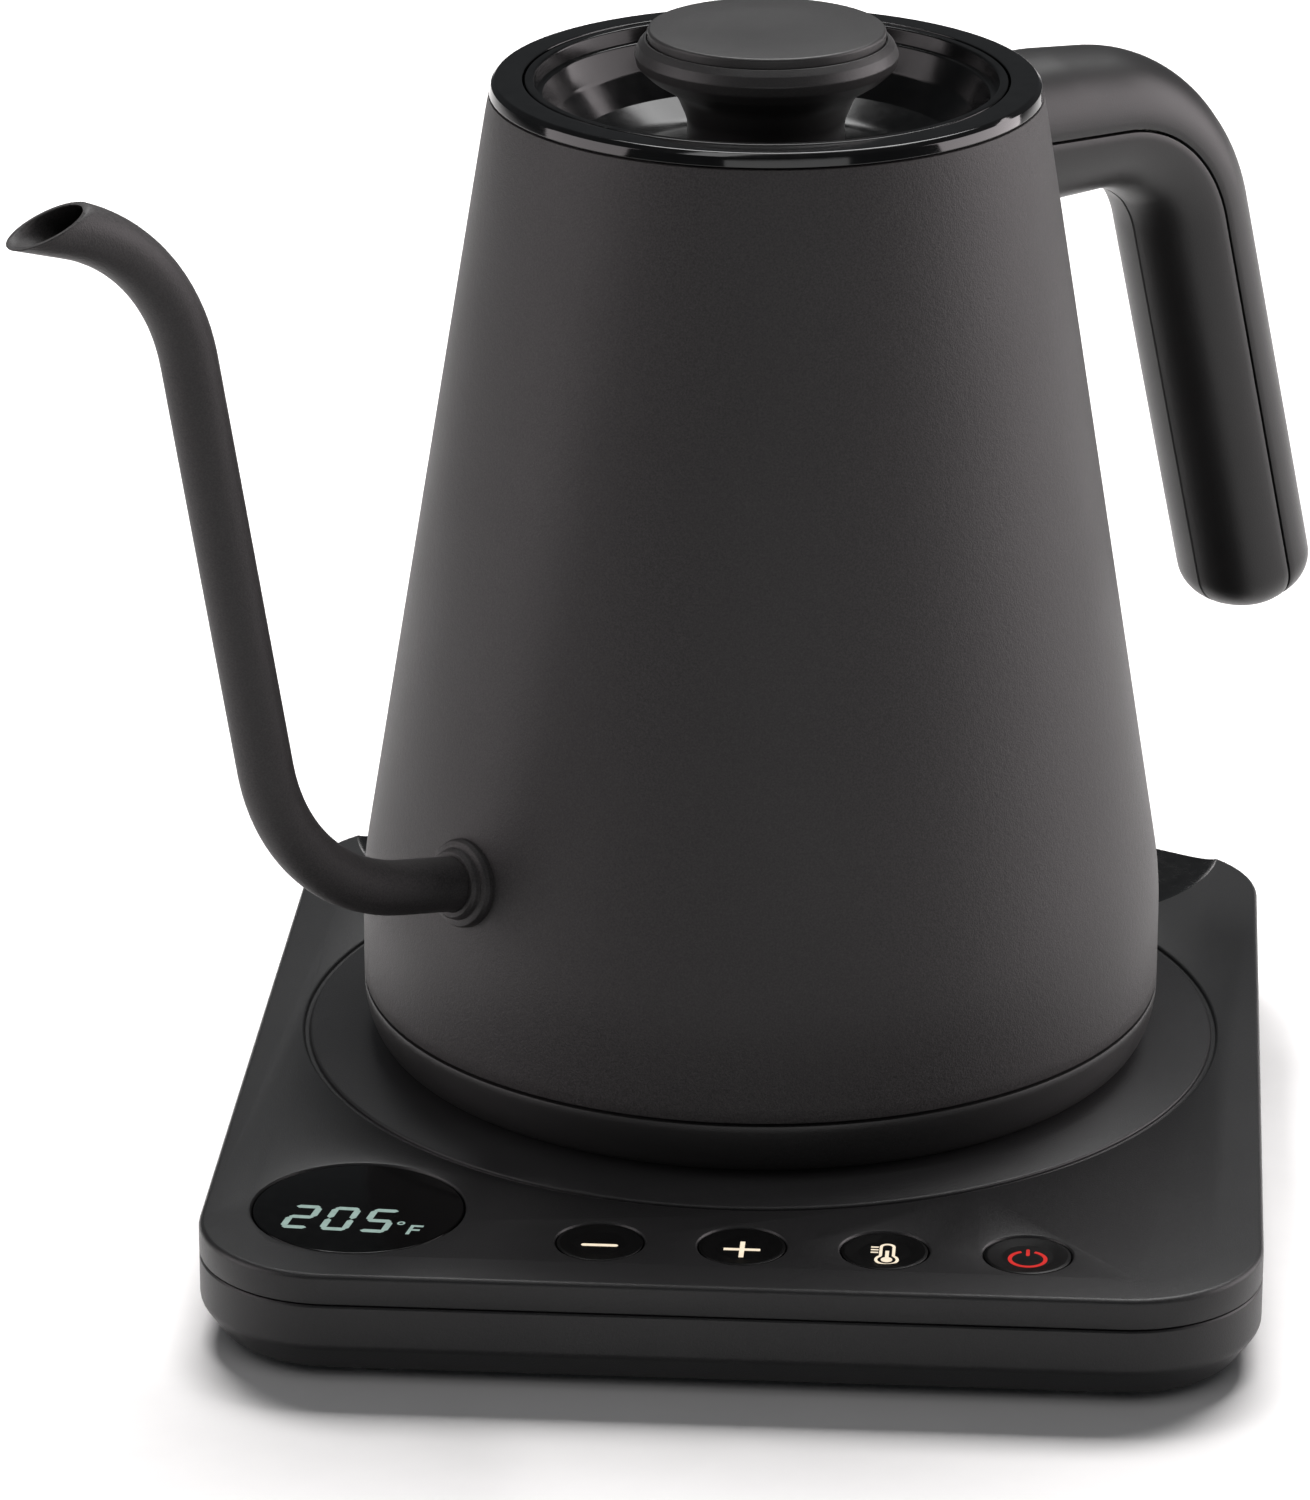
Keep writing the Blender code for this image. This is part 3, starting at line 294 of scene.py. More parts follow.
# ---- paths ----

def bent_path(start, heading, moves, step):
    """Points (along, up, heading) of a path of straight runs and bends."""
    along, up = start
    path = [(along, up, heading)]
    for move in moves:
        if move[0] == "run":
            count = max(1, round(move[1] / step))
            for _ in range(count):
                along += move[1] / count * cos(heading)
                up += move[1] / count * sin(heading)
                path.append((along, up, heading))
            continue
        _, radius, target = move
        turn = target - heading
        count = max(2, round(abs(turn) * radius / step))
        side = 1 if turn > 0 else -1
        centre_along = along - side * radius * sin(heading)
        centre_up = up + side * radius * cos(heading)
        for i in range(1, count + 1):
            now = heading + turn * i / count
            path.append((centre_along + side * radius * sin(now),
                         centre_up - side * radius * cos(now), now))
        heading = target
        along, up, _ = path[-1]
    return path


def path_lengths(path):
    lengths = [0.0]
    for (a, b, _), (c, d, _) in zip(path, path[1:]):
        lengths.append(lengths[-1] + hypot(c - a, d - b))
    return lengths


def station_at(path, lengths, length):
    """The point and heading at a distance along a path."""
    for index in range(len(path) - 1):
        if length <= lengths[index + 1]:
            share = (length - lengths[index]) / (lengths[index + 1] - lengths[index])
            return tuple(a + (b - a) * share for a, b in zip(path[index], path[index + 1]))
    return path[-1]


# ---- materials ----

BLACK = (0, 0, 0, 1)
WHITE = (1, 1, 1, 1)


def new_material(name):
    mat = bpy.data.materials.new(name)
    mat.use_nodes = True
    tree = mat.node_tree
    return mat, tree, tree.nodes["Principled BSDF"]


def put(node, **values):
    """Sets a node's inputs by name, with an underscore for each space."""
    for name, value in values.items():
        node.inputs[name.replace("_", " ")].default_value = value


def noise(tree, scale, detail=3.0, roughness=0.55, stretch=(1, 1, 1)):
    """A noise in the object's own coordinates; scale is cells to a metre."""
    coordinates = tree.nodes.new("ShaderNodeTexCoord")
    mapping = tree.nodes.new("ShaderNodeMapping")
    put(mapping, Scale=stretch)
    texture = tree.nodes.new("ShaderNodeTexNoise")
    put(texture, Scale=scale, Detail=detail, Roughness=roughness)
    tree.links.new(coordinates.outputs["Object"], mapping.inputs["Vector"])
    tree.links.new(mapping.outputs["Vector"], texture.inputs["Vector"])
    return texture.outputs["Fac"]


def ranged(tree, value, low, high, from_low=0.3, from_high=0.7):
    node = tree.nodes.new("ShaderNodeMapRange")
    put(node, From_Min=from_low, From_Max=from_high, To_Min=low, To_Max=high)
    tree.links.new(value, node.inputs["Value"])
    return node.outputs["Result"]


def blended(tree, value, dark, light, low=0.3, high=0.7):
    ramp = tree.nodes.new("ShaderNodeValToRGB")
    ramp.color_ramp.elements[0].position = low
    ramp.color_ramp.elements[1].position = high
    ramp.color_ramp.elements[0].color = (*dark, 1)
    ramp.color_ramp.elements[1].color = (*light, 1)
    tree.links.new(value, ramp.inputs["Fac"])
    return ramp.outputs["Color"]


def bumped(tree, shader, heights):
    """Chains bumps of (height value, depth in metres) into the shader."""
    last = None
    for value, depth in heights:
        bump = tree.nodes.new("ShaderNodeBump")
        put(bump, Strength=1.0, Distance=depth)
        tree.links.new(value, bump.inputs["Height"])
        if last is not None:
            tree.links.new(last, bump.inputs["Normal"])
        last = bump.outputs["Normal"]
    tree.links.new(last, shader.inputs["Normal"])


def uneven_gloss(tree, shader, fine, rough, mottle):
    """Roughness that follows the grain, with a slow drift over it."""
    mix = tree.nodes.new("ShaderNodeMath")
    mix.operation = "ADD"
    tree.links.new(ranged(tree, fine, *rough), mix.inputs[0])
    tree.links.new(ranged(tree, noise(tree, mottle, 2.0), -0.02, 0.03), mix.inputs[1])
    tree.links.new(mix.outputs["Value"], shader.inputs["Roughness"])


def grained(name, dark, light, rough, grain, depth, mottle=40.0, metallic=0.0, specular=0.5,
            stretch=(1, 1, 1), detail=3.0):
    """A surface with a fine grain: speckled colour, uneven gloss and relief."""
    mat, tree, shader = new_material(name)
    fine = noise(tree, 1 / grain, detail, 0.6, stretch)
    tree.links.new(blended(tree, fine, dark, light), shader.inputs["Base Color"])
    uneven_gloss(tree, shader, fine, rough, mottle)
    bumped(tree, shader, [(fine, depth)])
    put(shader, Metallic=metallic, Specular_IOR_Level=specular)
    return mat


def glowing(name, colour, strength):
    """Lit marks: an uneven glow from the light pipe behind them."""
    mat, tree, shader = new_material(name)
    cells = noise(tree, 900.0, 1.0)
    lit = blended(tree, cells, tuple(0.86 * c for c in colour), colour)
    tree.links.new(lit, shader.inputs["Emission Color"])
    put(shader, Base_Color=BLACK, Specular_IOR_Level=0.1, Emission_Strength=strength, Roughness=0.5)
    return mat


def coated_steel():
    """Charcoal powder coat: fine speckle over a faint orange peel."""
    mat, tree, shader = new_material("coated_steel")
    speckle = noise(tree, 3200.0, 2.0, 0.7)
    peel = noise(tree, 900.0, 2.0)
    colour = blended(tree, speckle, (0.0175, 0.0165, 0.0166), (0.056, 0.0515, 0.052), 0.34, 0.72)
    tree.links.new(colour, shader.inputs["Base Color"])
    uneven_gloss(tree, shader, speckle, (0.46, 0.60), 22.0)
    bumped(tree, shader, [(peel, 0.00005), (speckle, 0.00006)])
    put(shader, Specular_IOR_Level=0.36)
    return mat


def circuit_board():
    """Green solder mask with paler tracks in a grid."""
    mat, tree, shader = new_material("circuit_board_green")
    coordinates = tree.nodes.new("ShaderNodeTexCoord")
    bricks = tree.nodes.new("ShaderNodeTexBrick")
    put(bricks, Color1=(0.012, 0.12, 0.05, 1), Color2=(0.018, 0.15, 0.065, 1))
    put(bricks, Mortar=(0.05, 0.28, 0.12, 1), Scale=160.0, Mortar_Size=0.06)
    tree.links.new(coordinates.outputs["Object"], bricks.inputs["Vector"])
    tree.links.new(bricks.outputs["Color"], shader.inputs["Base Color"])
    tree.links.new(ranged(tree, bricks.outputs["Fac"], 0.35, 0.5, 0, 1), shader.inputs["Roughness"])
    bumped(tree, shader, [(bricks.outputs["Fac"], 0.00003)])
    return mat


COATED_STEEL = coated_steel()
BRUSHED_STEEL = grained(
    "brushed_steel", (0.42, 0.41, 0.4), (0.62, 0.61, 0.59), (0.2, 0.34), 0.0004, 0.000012, metallic=1.0,
    stretch=(0.03, 0.03, 1.0))
STEEL = grained(
    "plain_steel", (0.45, 0.44, 0.43), (0.62, 0.61, 0.6), (0.24, 0.38), 0.0006, 0.00001, metallic=1.0)
SATIN_PLASTIC = grained(
    "satin_plastic", (0.0105, 0.0102, 0.0102), (0.0165, 0.016, 0.016), (0.36, 0.46), 0.00028, 0.00002,
    specular=0.4)
KNOB_PLASTIC = grained(
    "knob_plastic", (0.018, 0.0174, 0.0174), (0.029, 0.028, 0.028), (0.38, 0.48), 0.00026, 0.000028,
    specular=0.4)
BASE_PLASTIC = grained(
    "base_plastic", (0.0115, 0.0115, 0.0118), (0.019, 0.019, 0.0195), (0.36, 0.46), 0.0003, 0.000035,
    mottle=25.0, specular=0.36)
# Darker, glossier plastic for the troughs in the base's rear corners: its darker colour is painted shade in
# the recess; its lower roughness is the surface's gloss.
TROUGH_PAINTED_SHADE = grained(
    "trough_painted_shade", (0.003, 0.003, 0.003), (0.005, 0.005, 0.005), (0.2, 0.28), 0.002, 0.000006,
    specular=0.3)
GLOSS_PLASTIC = grained(
    "gloss_plastic", (0.0035, 0.0035, 0.0036), (0.0055, 0.0055, 0.0056), (0.055, 0.1), 0.004, 0.000004,
    detail=2.0)
BOWL_PLASTIC = grained(
    "bowl_plastic", (0.003, 0.003, 0.0031), (0.0048, 0.0048, 0.0049), (0.14, 0.2), 0.004, 0.000004,
    detail=2.0, specular=0.22)
BUTTON_PLASTIC = grained(
    "button_plastic", (0.0016, 0.0016, 0.0016), (0.0026, 0.0026, 0.0026), (0.3, 0.4), 0.0006, 0.000006,
    specular=0.22)
WINDOW_PLASTIC = grained(
    "window_plastic", (0.0018, 0.0018, 0.0018), (0.0026, 0.0026, 0.0026), (0.1, 0.16), 0.002, 0.000003,
    specular=0.2)
RUBBER = grained("black_rubber", (0.012, 0.012, 0.012), (0.024, 0.024, 0.024), (0.68, 0.85), 0.0005, 0.00005)
SILICONE = grained("grey_silicone", (0.26, 0.26, 0.25), (0.36, 0.36, 0.35), (0.5, 0.62), 0.0008, 0.00002)
ALUMINIUM = grained(
    "cast_aluminium", (0.5, 0.5, 0.5), (0.7, 0.7, 0.7), (0.4, 0.55), 0.0009, 0.00005, metallic=1.0)
BRASS = grained(
    "brass_contact", (0.5, 0.34, 0.13), (0.72, 0.52, 0.22), (0.24, 0.36), 0.0005, 0.00001, metallic=1.0)
BOARD = circuit_board()
MOULDED_WHITE = grained(
    "moulded_white", (0.62, 0.61, 0.57), (0.76, 0.75, 0.71), (0.42, 0.55), 0.0006, 0.00003)
RELAY_BLUE = grained("relay_blue", (0.03, 0.08, 0.26), (0.05, 0.12, 0.34), (0.3, 0.42), 0.0007, 0.00002)
COIL_YELLOW = grained(
    "coil_yellow", (0.5, 0.36, 0.05), (0.72, 0.56, 0.12), (0.4, 0.55), 0.0006, 0.00005,
    stretch=(0.1, 0.1, 1.0))
DIGIT_GLOW = glowing("digit_glow", (0.40, 0.55, 0.50), 0.85)
WARM_GLOW = glowing("warm_glow", (1.0, 0.86, 0.66), 1.1)
RED_GLOW = glowing("red_glow", (0.86, 0.035, 0.03), 0.85)


# ---- base shells ----

def base_outline(inset, z):
    """Points of the base's outline with round corners, at a height."""
    centre = (BASE_LOW + BASE_HIGH) / 2
    half_x = (BASE_HIGH.x - BASE_LOW.x) / 2 - BASE_CORNER
    half_y = (BASE_HIGH.y - BASE_LOW.y) / 2 - BASE_CORNER
    points = []
    for turn, (side_x, side_y) in enumerate(((1, 1), (-1, 1), (-1, -1), (1, -1))):
        for step in range(CORNER_STEPS + 1):
            angle = radians(90) * (turn + step / CORNER_STEPS)
            reach = BASE_CORNER - inset
            points.append((centre.x + side_x * half_x + reach * cos(angle),
                           centre.y + side_y * half_y + reach * sin(angle), z))
    return points


def banded(name, profile):
    """A shell from (inset, z) steps round the base's outline, capped at both ends."""
    return lofted(name, [base_outline(inset, z) for inset, z in profile], BASE)


def scallop(side):
    """The cutter of a shallow dished trough in a rear corner of the top."""
    high = BASE_TOP + 3
    profile = [(SCALLOP_RADIUS, high), (SCALLOP_RADIUS, BASE_TOP)]
    for step in range(1, 24):
        share = step / 24
        depth = SCALLOP_DEPTH * sin(pi * share ** 0.6)
        profile.append((SCALLOP_RADIUS - SCALLOP_WIDTH * share, BASE_TOP - depth))
    profile += [(SCALLOP_RADIUS - SCALLOP_WIDTH, BASE_TOP), (SCALLOP_RADIUS - SCALLOP_WIDTH, high)]
    place = BASE @ Matrix.Translation((side * SCALLOP_CENTRE[0], SCALLOP_CENTRE[1], 0))
    cutter = turned("scallop", profile, ROUND_STEPS, True, place)
    plate = cylinder("scallop_plate", PLATE_KEEPOUT, BASE_TOP - 5, BASE_TOP + 5, steps=2 * ROUND_STEPS)
    edge = side * SCALLOP_CENTRE[0]
    far = edge - side * 60
    middle = box_piece("scallop_middle", (min(edge, far), 0, BASE_TOP - 6),
                       (max(edge, far), 140, BASE_TOP + 6))
    return cut(cutter, plate, middle)


def paint_scallop_shade(shell):
    """Gives the troughs in the rear corners a darker, smoother material: the darker colour is painted shade
    in the recess, the lower roughness is their gloss.
    """
    for polygon in shell.data.polygons:
        spot = (polygon.center - Vector((AXIS.x, AXIS.y, 0))) / MM
        depth = BASE_TOP - spot.z
        beside = hypot(abs(spot.x) - SCALLOP_CENTRE[0], spot.y - SCALLOP_CENTRE[1])
        in_ring = SCALLOP_RADIUS - SCALLOP_WIDTH < beside < SCALLOP_RADIUS + 0.1
        if in_ring and spot.y > 0 and 0.01 < depth < SCALLOP_DEPTH + 0.1:
            polygon.material_index = 1


def make_base_top():
    inner = SHELL_WALL
    edge = rounded([(0, BASE_SPLIT + 0.3, 0.35), (0, BASE_TOP, TOP_EDGE_ROUND), (8, BASE_TOP, 0)],
                   steps=7, closed=False)
    edge[0] = (0.3, BASE_SPLIT + 0.3)
    edge.insert(1, (0.08, BASE_SPLIT + 0.38))
    edge.insert(2, (0, BASE_SPLIT + 0.6))
    profile = [(inner, BASE_TOP - SHELL_WALL), (inner, BASE_SPLIT + 0.3)] + edge
    shell = banded("base_upper_casing", profile)
    cutters = [cylinder("post_hole", POST_RADIUS + 0.3, 5, 30, BASE, ROUND_STEPS, 0.5),
               cylinder("display_hole", DISPLAY_RADIUS + 0.2, 5, 30, place_on("display_window"),
                        ROUND_STEPS, 0.7)]
    cutters += [cylinder("button_hole", BUTTON_RADIUS + 0.2, 5, 30, place_on(name), 2 * SMALL_STEPS, 0.7)
                for name in BUTTONS]
    inside, outside = GROOVE_RADIUS - GROOVE_HALF, GROOVE_RADIUS + GROOVE_HALF
    groove = rounded([(GROOVE_RADIUS - 2, BASE_TOP + 1, 0), (inside - 0.5, BASE_TOP + 0.02, 0),
                      (inside, BASE_TOP - 0.25, 0.4), (inside, BASE_TOP - GROOVE_DEPTH, 0.3),
                      (outside, BASE_TOP - GROOVE_DEPTH, 0.3), (outside, BASE_TOP - 0.25, 0.4),
                      (outside + 0.5, BASE_TOP + 0.02, 0), (GROOVE_RADIUS + 2, BASE_TOP + 1, 0)], steps=3)
    cutters.append(turned("ring_groove", groove, 2 * ROUND_STEPS, True, BASE))
    cutters += [scallop(-1), scallop(1)]
    cut(shell, *cutters)
    # The second material paints shade into the rear troughs.
    dress(shell, BASE_BODY, "base_plastic", [BASE_PLASTIC, TROUGH_PAINTED_SHADE], "base_top_shell")
    paint_scallop_shade(shell)


def make_base_bottom():
    slope_z, slope_inset, bottom = 7.5, 3.5, 2.5
    inner = slope_inset + SHELL_WALL
    profile = [(inner, bottom + SHELL_WALL), (inner, slope_z + SHELL_WALL),
               (SHELL_WALL, slope_z + SHELL_WALL), (SHELL_WALL, BASE_SPLIT)]
    outside = [(0.25, BASE_SPLIT, 0), (0, BASE_SPLIT - 0.3, 0.25), (0, slope_z, 2.5),
               (slope_inset, bottom, 0.5), (slope_inset + 8, bottom, 0)]
    profile += rounded(outside, steps=6, closed=False)
    shell = banded("base_lower_casing", profile)
    for number in range(1, 5):
        place = place_on("base_screw_%d" % number)
        boss_line = [(1.5, 16.8, 0), (3.8, 16.8, 0.4), (4.6, bottom + 1, 0), (1.5, bottom + 1, 0)]
        boss = turned("boss", rounded(boss_line), SMALL_STEPS, True, place)
        add_boss(shell, boss, [(0, 30), (1.8, 30), (1.8, 4.2), (3.3, 4.2), (3.3, 2.9), (3.7, 2.3),
                               (3.7, 0), (0, 0)], place)
    for name in FEET:
        cut(shell, cylinder("seat", FOOT_RADIUS + 0.3, 0, bottom + 1, place_on(name)))
    cut(shell, box_piece("gland_slot", (-6.5, BASE_HIGH.y - 20, 8.4), (6.5, BASE_HIGH.y + 20, 30)))
    dress(shell, BASE_BODY, "base_plastic", [BASE_PLASTIC], "base_bottom_shell")


def add_boss(shell, boss, sink_line, place):
    """Joins a screw's boss to a casing and sinks the screw's hole through it."""
    cut(shell, boss, operation="UNION")
    cut(shell, turned("sink", sink_line, SMALL_STEPS, False, place))


def cross_recess(place, radius, low, high):
    """The cutter of a screw's cross recess, tapering upwards into the head."""
    blades = []
    for turn in (0, 90):
        sections = []
        for z, share in ((low, 1.0), (high, 0.45)):
            half, thin = radius * share, 0.28 * radius * share
            sections.append([(-half, -thin, z), (half, -thin, z), (half, thin, z), (-half, thin, z)])
        spin = Matrix.Rotation(radians(turn), 4, "Z")
        blades.append(lofted("recess_blade", sections, place @ spin))
    return blades


def make_screw(name, node, body, place, head_radius, head_height, shaft_radius, shaft_length):
    """A pan-head screw with a cross recess, its head towards -Z of place."""
    head = [(0, -head_height, 0), (head_radius * 0.72, -head_height, 0.5),
            (head_radius, -0.45 * head_height, 0.5), (head_radius, 0, 0.12), (shaft_radius, 0, 0)]
    profile = rounded(head, steps=4, closed=False)
    pitch = 1.0
    z = 0.6
    while z < shaft_length - 1:
        profile += [(shaft_radius * 0.82, z), (shaft_radius, z + 0.5 * pitch)]
        z += pitch
    profile += [(shaft_radius * 0.6, shaft_length - 0.3), (0, shaft_length)]
    screw = turned(name, profile, SMALL_STEPS // 2, False, place)
    cut(screw, *cross_recess(place, 0.62 * head_radius, -head_height - 0.1, -0.1 * head_height))
    dress(screw, body, "steel", [STEEL], node)


def make_base_fasteners():
    for number in range(1, 5):
        node = "base_screw_%d" % number
        place = place_on(node) @ Matrix.Translation((0, 0, 3.9))
        make_screw("base_casing_screw_%d" % number, node, BASE_BODY, place, 3.0, 1.3, 1.4, 11.0)
    for name in FEET:
        profile = [(0, 3.2, 0), (FOOT_RADIUS, 3.2, 0.3), (FOOT_RADIUS, 0.5, 0.6), (FOOT_RADIUS - 1.2, 0, 0.5),
                   (FOOT_RADIUS - 1.9, 0, 0.2), (FOOT_RADIUS - 2.2, 0.35, 0.2), (0, 0.35, 0)]
        foot = turned(name.replace("foot", "rubber_foot"), rounded(profile, 4, False), SMALL_STEPS, False,
                      place_on(name))
        dress(foot, BASE_BODY, "rubber", [RUBBER], name)


# ---- marks ----

def plate_from(name, outlines, z, place, thick=0.03):
    """Thin raised marks of closed outlines at a height."""
    bm = bmesh.new()
    for outline in outlines:
        low = [bm.verts.new((x, y, z)) for x, y in outline]
        high = [bm.verts.new((x, y, z + thick)) for x, y in outline]
        bridge(bm, low, high)
        bm.faces.new(low)
        bm.faces.new(high)
    return new_piece(name, bm, place)


def bar(start, end, width):
    """The outline of a straight stroke with round ends."""
    start, end = Vector(start), Vector(end)
    heading = atan2(end.y - start.y, end.x - start.x)
    points = []
    for centre, first in ((end, heading - pi / 2), (start, heading + pi / 2)):
        for step in range(7):
            angle = first + pi * step / 6
            points.append((centre.x + width / 2 * cos(angle),
                           centre.y + width / 2 * sin(angle)))
    return points


def arc_band(centre, radius, width, start, end, steps=40):
    """The outline of a stroke along an arc."""
    points = []
    outer, inner = radius + width / 2, radius - width / 2
    for reach, angles in ((outer, range(steps + 1)), (inner, range(steps, -1, -1))):
        for step in angles:
            angle = radians(start + (end - start) * step / steps)
            points.append((centre[0] + reach * cos(angle), centre[1] + reach * sin(angle)))
    return points


def circle(centre, radius, steps=24):
    return [(centre[0] + radius * cos(tau * i / steps),
             centre[1] + radius * sin(tau * i / steps)) for i in range(steps)]


def oblong(left, low, right, high):
    return [(left, low), (right, low), (right, high), (left, high)]


DIGIT_WIDTH = 4.3
DIGIT_HEIGHT = 9.2
DIGIT_STROKE = 1.1
DIGIT_PITCH = 6.5
DIGIT_SLANT = 0.14
SEGMENTS = {"2": "abged", "0": "abcdef", "5": "afgcd"}


def digit_segments(digit):
    """Outlines of the lit segments of a seven-segment digit, from its lower left."""
    gap = 0.12
    spread = 0.25
    edge = DIGIT_STROKE / 2
    half = DIGIT_HEIGHT / 2
    top = DIGIT_HEIGHT - edge
    right = DIGIT_WIDTH - edge + spread
    left = edge - spread

    def upright(x, low, high):
        low, high = low + gap, high - gap
        return [(x, low), (x + edge, low + edge), (x + edge, high - edge),
                (x, high), (x - edge, high - edge), (x - edge, low + edge)]

    def level(y):
        return [(along, up) for up, along in upright(y, 0, DIGIT_WIDTH)]

    shapes = {"a": level(top), "g": level(half), "d": level(edge),
              "b": upright(right, half, top), "c": upright(right, edge, half),
              "f": upright(left, half, top), "e": upright(left, edge, half)}
    return [shapes[key] for key in SEGMENTS[digit]]


def leaning(outlines, shift=(0, 0), turn=0.0):
    """Slants outlines to the right, moves them and turns them."""
    out = []
    for outline in outlines:
        slanted = [(x + DIGIT_SLANT * y + shift[0], y + shift[1]) for x, y in outline]
        out.append([(x * cos(turn) - y * sin(turn), x * sin(turn) + y * cos(turn))
                    for x, y in slanted])
    return out


def make_display():
    top = BASE_TOP - 0.22
    low = BASE_TOP - SHELL_WALL
    profile = [(0, top, 0), (DISPLAY_RADIUS, top, 0.35), (DISPLAY_RADIUS, low, 0.1), (0, low, 0)]
    place = place_on("display_window")
    window = turned("display_lens", rounded(profile, 5, False), ROUND_STEPS, False, place)
    dress(window, BASE_BODY, "window_plastic", [WINDOW_PLASTIC], "display_window")
    outlines = []
    turn = radians(-3)
    first = (-11.6, -9.0)
    for index, digit in enumerate("205"):
        outlines += leaning(digit_segments(digit), (first[0] + index * DIGIT_PITCH, first[1]), turn)
    letter_x = first[0] + 3 * DIGIT_PITCH + 1.3
    letter = [(0, 0), (0.6, 0), (0.6, 1.5), (1.9, 1.5), (1.9, 2.05), (0.6, 2.05), (0.6, 3.0), (2.1, 3.0),
              (2.1, 3.6), (0, 3.6)]
    outlines += leaning([letter], (letter_x, first[1]), turn)
    ring = arc_band((letter_x - 0.6, first[1] + 4.1), 0.5, 0.3, 0, 358, 24)
    outlines += leaning([ring], (0.0, 0.0), turn)
    digits = plate_from("display_digits", outlines, top + 0.01, place)
    dress(digits, BASE_BODY, "window_plastic", [DIGIT_GLOW])


def icon_outlines(name):
    """The mark on a button: outlines in its own frame, front towards -Y."""
    drop = -0.6
    if name == "button_minus":
        return [bar((-2.6, drop), (2.6, drop), 0.85)]
    if name == "button_plus":
        half, thin = 3.0, 0.4
        return [[(-half, drop - thin), (-thin, drop - thin), (-thin, drop - half), (thin, drop - half),
                 (thin, drop - thin), (half, drop - thin), (half, drop + thin), (thin, drop + thin),
                 (thin, drop + half), (-thin, drop + half), (-thin, drop + thin), (-half, drop + thin)]]
    if name == "button_power":
        ring = arc_band((0, drop - 0.3), 2.9, 0.65, 112, 428)
        return [ring, bar((0, drop + 1.2), (0, drop + 3.1), 0.6)]
    middle, low, high = 0.4, drop - 2.2, drop + 2.6
    bulb, stem, width = 1.75, 1.05, 0.5
    tilt = degrees(asin(stem / bulb))
    outline = arc_band((middle, low), bulb, width, 90 + tilt, 450 - tilt)
    cap = arc_band((middle, high), stem, width, 0, 180, 16)
    neck = low + bulb * cos(radians(tilt))
    sides = [oblong(x - width / 2, neck, x + width / 2, high) for x in (middle - stem, middle + stem)]
    fluid = [circle((middle, low), 0.95), oblong(middle - 0.3, low + 0.85, middle + 0.3, drop + 1.2)]
    ticks = [oblong(-2.3, y, -1.05, y + 0.4) for y in (drop + 0.3, drop + 1.3, drop + 2.3)]
    return [outline, cap] + sides + fluid + ticks


def make_buttons():
    """Dished caps with a flange under the casing, and their lit marks."""
    flange_top = BASE_TOP - SHELL_WALL - 0.3
    for name in BUTTONS:
        place = place_on(name)
        rim = BASE_TOP - 0.15
        floor = rim - BUTTON_DISH
        dish = [(0, floor, 0), (4.2, floor, 4.0), (6.6, rim, 0.4),
                (BUTTON_RADIUS, rim - 0.1, 0.15), (BUTTON_RADIUS, flange_top, 0), (8.2, flange_top, 0.2),
                (8.2, flange_top - 1.2, 0.2), (2, flange_top - 1.2, 0), (2, flange_top - 1.5, 0.1),
                (0, flange_top - 1.5, 0)]
        cap = turned(name.replace("button", "key"), rounded(dish, 6, False), 2 * SMALL_STEPS, False, place)
        body = name + "_cap"
        dress(cap, body, "button_plastic", [BUTTON_PLASTIC], name)
        glow = RED_GLOW if name == "button_power" else WARM_GLOW
        mark = plate_from(name.replace("button", "mark"), icon_outlines(name), floor + 0.01, place)
        dress(mark, body, "button_plastic", [glow])


def make_gland():
    """The bush in the rear wall, with grooves round it and an open bore."""
    wall = BASE_HIGH.y
    flange = wall - SHELL_WALL - 0.3
    steps = [(6.2, wall - 6.0), (8.0, wall - 6.0), (8.0, flange), (6.2, flange),
             (6.2, wall + 0.2), (5.9, wall + 0.9), (5.2, wall + 1.2)]
    sections = []
    for half, y in steps:
        low = 8.7 if half < 7 else 10.3
        high = BASE_SPLIT - 0.1
        outline = rounded([(-half, low, 1.2), (half, low, 1.2), (half, high, 0.3), (-half, high, 0.3)], 5)
        sections.append([(x, y, z) for x, z in outline])
    gland = lofted("cord_bush", sections, BASE)
    turn = Matrix.Translation((0, wall, 11.8)) @ Matrix.Rotation(radians(90), 4, "X")
    bore = turned("gland_bore", [(0, 10), (2.5, 10), (2.5, -0.6), (3.1, -1.25), (3.1, -10), (0, -10)],
                  SMALL_STEPS, False, BASE @ turn)
    cut(gland, bore)
    dress(gland, BASE_BODY, "rubber", [RUBBER], "cord_gland")


